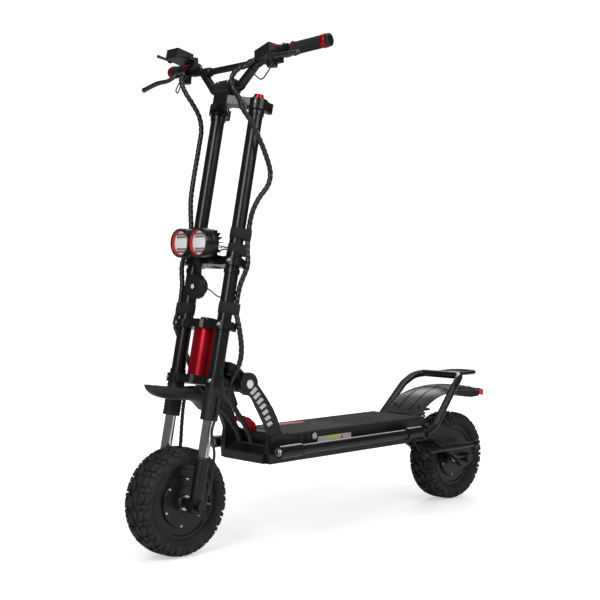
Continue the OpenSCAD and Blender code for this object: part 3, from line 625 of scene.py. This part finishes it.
# Each route's points are chosen. The two bundles run from the bar, past the neck, to the deck.
NECK_ROUTE = [
    (448, 80, 452), (444, 66, 430), (428, 48, 404), (402, 32, 372), (372, 26, 336), (346, 24, 300),
    (332, 24, 266)
]
NECK_CLIP = 2  # the point of NECK_ROUTE that the neck holds
CABLE_LEFT = [
    (386, 124, 1287), (402, 108, 1274), (412, 92, 1262), (420, 76, 1258), (428, 62, 1244), (432, 58, 1224),
    (428, 66, 1200), (430, 88, 1176), (438, 108, 1150), (416, 118, 1115), (396, 122, 1080), (370, 122, 1034),
    (352, 120, 991), (358, 118, 956), (384, 112, 921), (400, 104, 885), (406, 97, 840), (416, 102, 790),
    (423, 110, 745), (438, 97, 690), (449, 96, 632), (449, 107, 585), (441, 106, 545), (440, 104, 510),
    (444, 96, 480), *NECK_ROUTE
]
CABLE_RIGHT = [
    (404, -176, 1264), (420, -166, 1265), (432, -150, 1258), (436, -144, 1240), (430, -134, 1215),
    (416, -124, 1188), (396, -120, 1155), (390, -118, 1118), (400, -116, 1070), (414, -112, 1020),
    (427, -110, 965), (434, -109, 924), (437, -106, 883), (440, -101, 840), (450, -106, 790),
    (461, -114, 745), (470, -102, 690), (478, -104, 632), (484, -114, 590), (470, -109, 545),
    (454, -102, 500), *flip_y(NECK_ROUTE)
]
FRONT_MOTOR_ROUTE = [
    (500, -46, 420), (506, -50, 384), (508, -56, 330), (510, -60, 271), (524, -59, 210), (548, -58, 168)
]
BRAKE_HOSE_ROUTE = [
    (516, 105, 410), (524, 105, 366), (538, 104, 322), (530, 104, 272), (534, 104, 238), (542, 104, 193),
    (552, 106, 166)
]
REAR_MOTOR_ROUTE = [
    (-300, 92, 222), (-330, 98, 226), (-354, 103, 224), (-393, 105, 206), (-418, 104, 176), (-462, 98, 152),
    (-516, 92, 146)
]
BUNDLE_R = 7.0
CABLE_STEP = 2.2
WRAP_PITCH = 15
WRAP_GROOVE = 0.17
WRAP_GAP, WRAP_EDGE = 0.16, 0.05


def spiral_wrap(run, angle):
    """The groove between the turns of a flat plastic strip wound round the cable."""
    turn = (run / WRAP_PITCH + angle / (2 * math.pi)) % 1.0
    edge = min(turn, 1 - turn)
    return 1.0 - WRAP_GROOVE * min(max((WRAP_GAP - edge) / WRAP_EDGE, 0.0), 1.0)


def cable_piece(name, route, radius, nodes=(), sides=18, groove=spiral_wrap):
    """A cable swept along a smooth curve through its route; it is tied to no body."""
    line = Builder()
    line.sweep(smooth_path(route, CABLE_STEP), radius, sides, groove=groove)
    cable = line.piece(name, sleeve, None, replaces=nodes, slot="cable_sleeve", sharp=70)
    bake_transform(cable)


# leaves is the point of the route where the bundle comes free of the fork.
for tag, route, leaves in (("left", CABLE_LEFT, 22), ("right", CABLE_RIGHT, 19)):
    clip = len(route) - len(NECK_ROUTE) + NECK_CLIP
    cable_piece("cable_bundle_upper_" + tag, route[:clip + 1], BUNDLE_R,
                ["cable_" + tag])
    cable_piece("cable_bundle_lower_" + tag, route[clip:], BUNDLE_R,
                ["cable_" + tag])


# ---------- Lamps and horn ----------

LAMP_Y, LAMP_Z = 37.5, 804
LED_PITCH = 7.2
LED_ROWS = (-22.5, -15.5, 15.5, 22.5)
LED_RING = 28
FINS = 16
FIN_AT = 483.4
FIN_OUT = 28
FIN_SIZE = (20, 15, 2)
HORN_AT = (0, -15, 691)
WIRE_R = 1.9
HORN_RINGS = ((28, 33, 502), (19, 23.5, 500.8), (10, 14, 501.4))  # inner and outer radius, and x of the face
THIN_WIRES = (
    [(476, 40, 800), (462, 48, 796), (450, 58, 792), (444, 66, 786), (446, 72, 740)],
    [(476, -34, 798), (466, -10, 786), (458, 24, 782), (450, 52, 788), (445, 64, 782)],
    [(472, -15, 690), (462, 4, 682), (462, 30, 668), (466, 48, 664), (466, 58, 662)],
    [(404, 190, 1262), (412, 176, 1236), (408, 150, 1222), (400, 122, 1232), (404, 104, 1252)],
    [(404, -190, 1262), (424, -186, 1232), (430, -170, 1222), (432, -154, 1240)],
)


def headlights():
    """Two round lamps. Each profile is (radius, x), about the lamp's own axis."""
    bezels, reds, lenses, cells, fins = Builder(), Builder(), Builder(), Builder(), Builder()
    for side in (-1, 1):
        lamp = (0, side * LAMP_Y, LAMP_Z)
        bezels.lathe([(32.2, 515), (32.2, 527), (33.2, 530.4), (35.4, 531.6), (37.4, 530), (38.2, 526),
                      (38.2, 512), (37.2, 511)], lamp, X_AXIS, 72, closed=True)
        bezels.lathe([(36.8, 498), (38, 499), (38, 503), (36.8, 504)], lamp, X_AXIS, 72, closed=True)
        reds.lathe([(30.6, 515), (30.8, 526), (31.4, 529.4), (32.2, 529.4), (32.2, 515)], lamp, X_AXIS, 72,
                   closed=True)
        lenses.lathe([(0, 516), (30.6, 516), (30.6, 521), (28.5, 522.2), (12, 523.4), (0, 523.6)],
                     lamp, X_AXIS)
        for dz in LED_ROWS:
            for i in range(5):
                dy = (i - 2) * LED_PITCH
                if math.hypot(dy, dz) < LED_RING:
                    cells.block((523, side * LAMP_Y + dy, LAMP_Z + dz), (2.6, 5.6, 5.4))
        for i in range(FINS):
            turn = Matrix.Rotation(2 * math.pi * i / FINS, 4, "X")
            at = Vector((FIN_AT, side * LAMP_Y, LAMP_Z)) + turn @ Vector((0, FIN_OUT, 0))
            fins.block(at, FIN_SIZE, turn)
    bezels.piece("headlight_bezels", satin, "steering", slot="satin_black")
    reds.piece("headlight_red_rings", red_plain, "steering", slot="red_plastic")
    lenses.piece("headlight_lenses", lamp_white, "steering")
    cells.piece("headlight_led_cells", led_grey, "steering", bevel=0.5)
    fins.piece("headlight_fins", satin, "steering", slot="satin_black")


def horn():
    """The rings on the horn's face and back, and its centre. Profiles are (radius, x)."""
    rings, centre = Builder(), Builder()
    for inner, outer, x in HORN_RINGS:
        rings.lathe([(inner, 499), (inner + 0.8, x), (outer - 1.2, x), (outer, x - 1.6), (outer, 499)],
                    HORN_AT, X_AXIS, closed=True)
    rings.lathe([(31.8, 484), (33, 485), (33, 488), (31.8, 489)], HORN_AT, X_AXIS, closed=True)
    rings.piece("horn_rings", plastic, "steering", slot="black_plastic")
    centre.lathe([(0, 503.6), (6.4, 503.6), (6.4, 504.6), (5.2, 505.8), (0, 506)], HORN_AT, X_AXIS, 32)
    centre.piece("horn_centre", label_white, "steering")


headlights()
horn()
wires = Builder()
for route in THIN_WIRES:
    wires.sweep(smooth_path(route, 2.5), WIRE_R, 12)
wires.piece("thin_wires", plastic, "steering", slot="black_plastic")


# ---------- Clamp bolts, fender and front hoses ----------

CLAMP_LEVELS = (325, 471, 638)
PINCH_BOLT = (4.6, 3.8, 4.4, 3, 2.4, 2.6)
FENDER = [
    (474, 368, 30, -2), (500, 389, 40, -12), (524, 399, 47, -22), (560, 404, 48, -27), (600, 409, 44, -28),
    (635, 419, 34, -23), (655, 431, 21, -14), (664, 441, 9, -5)
]
SHEET = 4.5

pinch, fender = Builder(), Builder()
for level in CLAMP_LEVELS:
    for side in (-1, 1):
        pinch.socket_bolt(fork(23, side * 86, level - 11), FORK_TURN @ Vector((1, side * 0.4, 0)), PINCH_BOLT)
pinch.piece("clamp_pinch_bolts", steel, "steering", slot="steel")
fender.blade(even_stations(FENDER, 5), SHEET)
fender.block((515, 0, 414), (28, 40, 34))
fender.piece("front_fender_blade", plastic, "steering", replaces=["front_fender"], slot="black_plastic",
             sharp=45)

for name, radius, route, groove in (
        ("front_motor_cable", 5.0, FRONT_MOTOR_ROUTE, spiral_wrap),
        ("front_brake_hose", 3.5, BRAKE_HOSE_ROUTE, None)):
    cable_piece(name, route, radius, ["front_cables"],
                groove=groove)


# ---------- Bar controls ----------

DISPLAY_AT = Vector((402, -198, 1327))
DISPLAY_TURN = Matrix.Rotation(math.radians(-12), 4, "Y")
BARREL_AT = Vector((382, 170, 1306))
BARREL_AXIS = Vector((-32, 0, 8))
LEVER_X, LEVER_Y = 398, 190
LEVER_R, LEVER_WAIST = 6.6, 0.84
WAIST_END = 1 / 1.6  # the share of the lever where its waist ends
LEVER_REACH = {
    "left": [(398, 190, 1276), (416, 191, 1276), (424, 212, 1271), (421, 250, 1269), (414, 288, 1270)],
    "right": [(398, -190, 1276), (416, -190, 1275), (432, -210, 1259), (444, -246, 1254), (452, -295, 1241)],
}
CROWN_BOLT = (4.4, 3.6, 4.4, 2.8, 2.4, 2.6)


def display_trim():
    """The display's window and the three buttons on its side."""
    glass, keys = Builder(), Builder()
    glass.block(DISPLAY_AT + DISPLAY_TURN @ Vector((0, 0, 14.2)), (46, 40, 1.2), DISPLAY_TURN)
    for x in (-14, 0, 14):
        at = DISPLAY_AT + Vector((x, 0, 0)) + DISPLAY_TURN @ Vector((0, 26, 0))
        keys.block(at, (9, 3, 9), DISPLAY_TURN)
    glass.piece("display_window", screen, "steering", bevel=0.4)
    keys.piece("display_buttons", plastic, "steering", slot="black_plastic", bevel=1)


def control_collars():
    """The steel barrel by the left switches with its red collars, and the red collar at the display."""
    barrel, collars = Builder(), Builder()
    barrel.lathe([(0, -3), (3.6, -3), (3.6, 37), (0, 37)], BARREL_AT, BARREL_AXIS, 24)
    for h in (-5, 30):
        collars.lathe([(0, h), (5.2, h), (5.8, h + 1), (5.8, h + 7), (5.2, h + 8), (0, h + 8)], BARREL_AT,
                      BARREL_AXIS, 28)
    collars.lathe([(9.5, -6), (12.6, -6), (13.2, -5), (13.2, 4), (12.6, 5), (9.5, 5)], (375.4, -196, 1292.6),
                  (-0.28, -0.95, 0.12), 36, closed=True)
    barrel.piece("control_barrel", steel, "steering", slot="steel")
    collars.piece("control_red_collars", red_metal, "steering", slot="red_anodised")


def lever_radius(share):
    """A lever blade is slimmest before its middle."""
    return LEVER_R - LEVER_WAIST * math.sin(math.pi * min(share / WAIST_END, 1))


def brake_lever(side, tag):
    """The blade, its pivot boss and its ball end."""
    reach = LEVER_REACH[tag]
    blade = Builder()
    blade.sweep(smooth_path(reach, 3), lever_radius, 20)
    blade.lathe([(0, 1267.5), (8.4, 1267.5), (9.2, 1268.6), (9.2, 1283), (8.4, 1284.2), (0, 1284.2)],
                (LEVER_X, side * LEVER_Y, 0), Z_AXIS, 32)
    blade.lathe([(0, -7.4), (4.6, -6), (7, -2.6), (7.4, 0), (7, 2.6), (4.6, 6), (0, 7.4)], reach[-1],
                (0, side, 0), 28)
    blade.piece("brake_lever_blade_" + tag, grey_metal, tag + "_lever", replaces=["brake_lever_" + tag],
                slot="grey_aluminium", sharp=50)


display_trim()
control_collars()
reservoirs, crown_bolts = Builder(), Builder()
for side in (-1, 1):
    reservoirs.lathe([(0, 0), (13, 0), (14.5, 1.5), (14.5, 15), (15.2, 16), (15.2, 19), (14, 20.5),
                      (0, 20.5)], (396, side * 176, 1250), Z_AXIS, 40)
    crown_bolts.socket_bolt(fork(18, side * 92, 1052), FORK_TURN @ Vector((0.7, side, 0)), CROWN_BOLT)
reservoirs.piece("brake_reservoirs", satin, "steering", slot="satin_black")
for side, tag in SIDES:
    brake_lever(side, tag)
crown_bolts.piece("crown_bolts", steel, "steering", slot="steel")


# ---------- Neck and deck ----------

MARKS = [(389, 417), (378, 404), (367, 389), (357, 374), (348, 358), (340, 342), (333, 326)]  # x and z
MARK_FACE = (95.9, 96.5)
MARK_HALF = 5.4
MARK_SLANT = 4
MARK_LONG, MARK_SHRINK = 28, 1.2
MARK_LEAN, MARK_FLATTEN = 38, 2.4
MAT_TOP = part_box("grip_mat")[1][2] / MM
TREADS = 32
TREAD_PITCH = 6
TREAD_LOW, TREAD_HIGH = MAT_TOP - 0.2, MAT_TOP + 1.2
TREAD_HALF_LOW, TREAD_HALF_HIGH = 1.9, 1.1
TREAD_SLOPE = 0.6
TREAD_GAP = 3
TREAD_SHORTEST = 2
TREAD_RUNS = ((-8, 254, 262), (-284, -12, 9))  # from and to along the deck, and the length of one tread
STRIPE = [
    (57, -54), (66, -48), (90, -45), (150, -48), (200, -54), (236, -62), (200, -70), (150, -76), (90, -71),
    (66, -61)
]
KEY_X, KEY_Z = 172, 279
RAIL_Y, RAIL_Z, RAIL_FRONT = 135, 254, 336


def arm_marks():
    """Slanted bars down the outside of both neck arms, each a little shorter and flatter than the last."""
    marks = Builder()
    for i, (x, z) in enumerate(MARKS):
        turn = Matrix.Rotation(math.radians(MARK_LEAN - MARK_FLATTEN * i), 4, "Y")
        half = (MARK_LONG - MARK_SHRINK * i) / 2
        shape = [(-half, 0, -MARK_HALF), (half - MARK_SLANT, 0, -MARK_HALF), (half, 0, MARK_HALF),
                 (MARK_SLANT - half, 0, MARK_HALF)]
        marks.loft([[Vector((x, y, z)) + turn @ Vector(v) for v in shape] for y in MARK_FACE])
    marks.mirror()
    marks.piece("arm_marks", arm_grey, "deck")


def rectangle(x0, x1, y, half, z):
    """A level rectangle from x0 to x1, half to each side of y."""
    return [(x0, y - half, z), (x1, y - half, z), (x1, y + half, z), (x0, y + half, z)]


def mat_treads():
    """Raised bars along the mat, whole in front and in short lengths behind."""
    treads = Builder()
    for i in range(TREADS):
        y = (i - (TREADS - 1) / 2) * TREAD_PITCH
        for start, end, length in TREAD_RUNS:
            x = start
            while x < end - TREAD_SHORTEST:
                stop = min(x + length, end)
                low = rectangle(x, stop, y, TREAD_HALF_LOW, TREAD_LOW)
                high = rectangle(x + TREAD_SLOPE, stop - TREAD_SLOPE, y, TREAD_HALF_HIGH, TREAD_HIGH)
                treads.loft([low, high])
                x = stop + TREAD_GAP
    treads.piece("mat_treads", mat_rubber, "deck", slot="grip_rubber")


def deck_trim():
    """The mat's stripe, the data plate with its blank marks, the key switch and the rails' end bolts."""
    stripe, plate, patch, dot, key, rail_bolts = (Builder() for _ in range(6))
    stripe.prism(STRIPE, TREAD_LOW, MAT_TOP + 1.8, "Z")
    plate.block((90.5, 101.1, 267), (133, 0.6, 14.6))
    patch.block((94, 101.5, 270), (42, 0.5, 7.6))
    dot.lathe([(0, 101.2), (4.2, 101.2), (4.2, 101.9), (0, 101.9)], (62, 0, 266), Y_AXIS, 24)
    key.lathe([(4.6, 103), (8.2, 103), (8.6, 104.2), (7.4, 105.4), (5, 105.4)], (KEY_X, 0, KEY_Z), Y_AXIS, 36,
              closed=True)
    key.block((KEY_X, 104.2, KEY_Z), (2.4, 1.2, 9.4))
    for side in (-1, 1):
        rail_bolts.lathe([(0, -1), (10.5, -1), (11.5, 0), (11.5, 1.2), (10.5, 2), (8.6, 2.2), (8.6, 6.6),
                          (7.8, 7.4), (4.6, 7.4), (4.2, 4), (0, 4)],
                         (RAIL_FRONT, side * RAIL_Y, RAIL_Z), X_AXIS, 32)
    stripe.piece("mat_red_stripe", red_mark, "deck", bevel=0.4)
    plate.piece("data_plate", plate_silver, "deck")
    patch.piece("data_plate_patch", label_yellow, "deck")
    dot.piece("data_plate_dot", red_mark, "deck")
    key.piece("key_switch_ring", plate_silver, "deck")
    rail_bolts.piece("rail_end_bolts", steel, "deck", slot="steel")


discs = Builder()
for side in (-1, 1):
    discs.lathe([(0, 98.8), (10, 98.8), (10.4, 99.2), (9.8, 99.8), (0, 99.9)], (PIVOT.x, 0, PIVOT.z),
                (0, side, 0), 48)
arm_marks()
discs.piece("pivot_discs", label_white, "deck")
mat_treads()
deck_trim()


# ---------- Mudguard, hoop, rack and rear cable ----------

GUARD = [
    (-302, 294, 70, 6), (-350, 326, 72, 7), (-395, 350, 74, 9), (-450, 364, 74, 11), (-515, 369, 72, 12),
    (-600, 361, 60, 10), (-648, 351, 46, 6)
]
GUARD_CHEEK = [(-436, 358), (-520, 363), (-600, 355), (-614, 334), (-560, 329), (-500, 342)]
GUARD_TAIL = [(-560, 353), (-600, 355), (-648, 346), (-648, 325), (-606, 323), (-576, 334)]
SEAM = [(-318, 306, 0, 0), (-350, 326, 0, 0), (-395, 350, 0, 0), (-450, 364, 0, 0)]
GUARD_SCREWS = ((-338, 316, (-0.55, 0, 0.8)), (-590, 358.6, (0.1, 0, 1)))  # x, z and the way that they face
HOOP = [
    (-505, 0, 402), (-505, 74, 402), (-478, 93, 395), (-440, 103, 370), (-330, 116, 258), (-284, 118, 240)
]
HOOP_BEND, HOOP_R = 62, 11.5
RACK = [(-645, 0, 404), (-645, 24, 404), (-620, 46, 404), (-519, 46, 404)]
RACK_BEND, RACK_R = 20, 6
RACK_SLATS = (-550, -580, -608)


def mudguard():
    """The shell with its inner cheeks and tail, two seams down its front, and four screws."""
    shell, seams, screws = Builder(), Builder(), Builder()
    shell.blade(even_stations(GUARD, 6), SHEET, 20)
    for side in (-1, 1):
        shell.prism(GUARD_CHEEK, side * 54, side * 60)
    shell.prism(GUARD_TAIL, -44, 44)
    for y in (-24, 24):
        seams.sweep([(x, y, z + 0.2) for x, z, _, _ in even_stations(SEAM, 6)], 1.2, 8)
    for x, z, facing in GUARD_SCREWS:
        for side in (-1, 1):
            screws.lathe([(0, -1), (5, -1), (5, 0.8), (4, 1.2), (2.6, 1.2), (2.2, 0.3), (0, 0.3)],
                         (x, side * 48, z), facing, 24)
    shell.piece("mudguard_shell", paint, "deck", replaces=["mudguard"], slot="satin_black", sharp=40)
    seams.piece("mudguard_seams", plastic, "deck", slot="black_plastic")
    screws.piece("mudguard_screws", plastic, "deck", slot="black_plastic")


def hoop_and_rack():
    """The hoop over the rear wheel with the sockets at its feet, and the rack's loop with its slats."""
    hoop, rack = Builder(), Builder()
    hoop.sweep(bent_path(mirror_path(HOOP), HOOP_BEND), HOOP_R, 32)
    foot_x, _, foot_z = HOOP[-1]
    for side in (-1, 1):
        hoop.lathe([(0, 100.4), (16.4, 100.4), (17, 101.4), (17, 121), (15.6, 123), (0, 123)],
                   (foot_x, 0, foot_z), (0, side, 0), 40)
    rack.sweep(bent_path(mirror_path(RACK), RACK_BEND), RACK_R, 24)
    for x in RACK_SLATS:
        rack.block((x, 0, 403.5), (16, 90, 4.6))
    hoop.piece("rear_hoop_tube", satin, "deck", replaces=["rear_hoop"], slot="satin_black")
    rack.piece("cargo_rack_loop", satin, "deck", replaces=["cargo_rack"], slot="satin_black", bevel=1)


mudguard()
hoop_and_rack()
cable_piece("rear_motor_cable", REAR_MOTOR_ROUTE, 4.5,
            sides=16)


# ---------- Camera, light and floor, in metres ----------

CAMERA_AT = (2.3499, 2.2994, 0.7156)
CAMERA_YAW, CAMERA_PITCH = math.radians(-134.02), math.radians(-1.17)
CAMERA_LENS = 67.67
FLOOR_HALF = 30
FLOOR_SINK = 0.0005
GLOW_FROM, GLOW_TO = 0.5, 2.8  # the floor's glow grows between these distances from the middle
GLOW_NEAR, GLOW_FAR = 0.50, 0.94
WORLD_SEEN, WORLD_ROOM = 1.15, 0.12
LIGHTS = (  # name, place, aim, size and power
    ("key", (3.0, 1.2, 2.4), (0.3, 0, 0.7), (0.9, 2.2), 55),
    ("side", (-0.2, 3.4, 2.6), (-0.1, 0, 0.5), (2.4, 1.6), 60),
    ("top", (0.2, 0.2, 4.0), (0, 0, 0), (2.6, 2.6), 32),
    ("back_rim", (-2.8, -2.2, 2.6), (0, 0, 0.6), (2.0, 2.0), 50),
)


def add_light(name, place, aim, size, power):
    """A soft rectangular lamp at place, turned to aim."""
    data = bpy.data.lights.new(name, "AREA")
    data.shape = "RECTANGLE"
    data.size, data.size_y = size
    data.energy = power
    lamp = bpy.data.objects.new(name, data)
    lamp.location = place
    lamp.rotation_mode = "QUATERNION"
    lamp.rotation_quaternion = (Vector(aim) - Vector(place)).to_track_quat("-Z", "Y")
    bpy.context.scene.collection.objects.link(lamp)


def floor_paper():
    """White paper that glows a little for the camera alone, and more with distance from the scooter."""
    paper = surface("floor_paper", grey(0.86), grey(0.88), (0.7, 0.8), bump=0.0, patch=0.5,
                    Emission_Color=(1, 1, 1, 1))
    nodes, links = paper.node_tree.nodes, paper.node_tree.links
    place = nodes.new("ShaderNodeTexCoord")
    away = nodes.new("ShaderNodeVectorMath")
    away.operation = "LENGTH"
    fade = nodes.new("ShaderNodeMapRange")
    put(fade, From_Min=GLOW_FROM, From_Max=GLOW_TO, To_Min=GLOW_NEAR, To_Max=GLOW_FAR)
    seen = nodes.new("ShaderNodeLightPath")
    glow = nodes.new("ShaderNodeMath")
    glow.operation = "MULTIPLY"
    links.new(place.outputs["Object"], away.inputs[0])
    links.new(away.outputs["Value"], fade.inputs["Value"])
    links.new(seen.outputs["Is Camera Ray"], glow.inputs[0])
    links.new(fade.outputs[0], glow.inputs[1])
    links.new(glow.outputs[0], nodes["Principled BSDF"].inputs["Emission Strength"])
    return paper


def add_floor():
    """The plain pale floor, a hair below the wheels."""
    mesh = bpy.data.meshes.new("floor")
    shape = bmesh.new()
    bmesh.ops.create_grid(shape, x_segments=8, y_segments=8, size=FLOOR_HALF)
    shape.to_mesh(mesh)
    shape.free()
    mesh.materials.append(floor_paper())
    floor = bpy.data.objects.new("floor", mesh)
    floor.location = (0, 0, -FLOOR_SINK)
    bpy.context.scene.collection.objects.link(floor)


def add_world():
    """A world that is white to the camera and dim to every other ray."""
    world = bpy.data.worlds.new("studio")
    world.use_nodes = True
    nodes, links = world.node_tree.nodes, world.node_tree.links
    seen = nodes["Background"]
    room = nodes.new("ShaderNodeBackground")
    for background, strength in ((seen, WORLD_SEEN), (room, WORLD_ROOM)):
        put(background, Color=(1, 1, 1, 1), Strength=strength)
    path = nodes.new("ShaderNodeLightPath")
    pick = nodes.new("ShaderNodeMixShader")
    links.new(path.outputs["Is Camera Ray"], pick.inputs[0])
    links.new(room.outputs[0], pick.inputs[1])
    links.new(seen.outputs[0], pick.inputs[2])
    links.new(pick.outputs[0], nodes["World Output"].inputs["Surface"])
    bpy.context.scene.world = world
    bpy.context.scene.view_settings.view_transform = "Standard"


def add_camera():
    """The camera at the photograph's viewing angle."""
    data = bpy.data.cameras.new("view")
    data.sensor_width = 36
    data.lens = CAMERA_LENS
    data.clip_end = 100
    camera = bpy.data.objects.new("view", data)
    level = math.cos(CAMERA_PITCH)
    aim = Vector((math.cos(CAMERA_YAW) * level, math.sin(CAMERA_YAW) * level, math.sin(CAMERA_PITCH)))
    camera.location = CAMERA_AT
    camera.rotation_mode = "QUATERNION"
    camera.rotation_quaternion = aim.to_track_quat("-Z", "Y")
    bpy.context.scene.collection.objects.link(camera)
    bpy.context.scene.camera = camera


add_floor()
add_world()
for light in LIGHTS:
    add_light(*light)
add_camera()


# ---------- Looks of the CAD nodes, those that a piece replaces included ----------

NODE_LOOK = {
    paint: ["deck_tray", "deck_lid", "neck_arms", "rear_block", "swingarm", "neck_block", "fork_legs"],
    satin: ["side_rails", "kickstand_bracket", "kickstand", "rear_caliper", "lower_clamp", "upper_clamps",
            "crown", "stem_tubes", "lever_perches", "headlights", "brake_lever_left", "brake_lever_right",
            "front_caliper", "rear_hoop", "cargo_rack", "handlebar", "rear_axle", "front_axle"],
    mat_rubber: ["grip_mat"],
    battery_blue: ["battery_pack"],
    aluminium: ["controllers"],
    steel: ["swingarm_bolt", "side_fittings", "fold_pivot_bolt", "head_bearings", "fork_springs"],
    red_metal: ["fold_latch", "fold_lever", "head_tube", "crown_caps"],
    plastic: ["rear_springs", "mudguard", "display", "switch_pod", "horn", "front_fender",
              "throttle_trigger", "port_cap_front", "port_cap_rear"],
    lens_red: ["tail_light"],
    red_plain: ["horn_button"],
    rubber: ["front_tyre", "rear_tyre"],
    grip_foam: ["grips"],
    hub_paint: ["rear_hub", "front_hub"],
    disc_steel: ["rear_disc", "front_disc"],
    grey_metal: ["bar_clamp"],
    chrome: ["stanchions"],
    sleeve: ["front_cables", "cable_left", "cable_right"],
}
NODE_BEVEL = {  # the width of each rounded edge
    "deck_tray": 2.0, "deck_lid": 0.8, "neck_arms": 2.5, "neck_block": 3.0, "lower_clamp": 1.5,
    "upper_clamps": 1.5, "crown": 2.5, "swingarm": 2.0, "switch_pod": 4.0, "display": 2.5,
    "bar_clamp": 1.5, "tail_light": 2.0, "rear_block": 1.5, "horn": 1.5, "headlights": 1.0,
    "lever_perches": 1.0, "side_rails": 0.8, "fork_legs": 1.5, "fold_latch": 1.5, "mudguard": 1.2,
    "kickstand": 1.0
}

for mat, names in NODE_LOOK.items():
    for name in names:
        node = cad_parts[name]
        if not node.material_slots:
            node.data.materials.append(mat)
        for place in node.material_slots:
            place.material = mat
        if name in NODE_BEVEL:
            add_bevel(node, NODE_BEVEL[name])
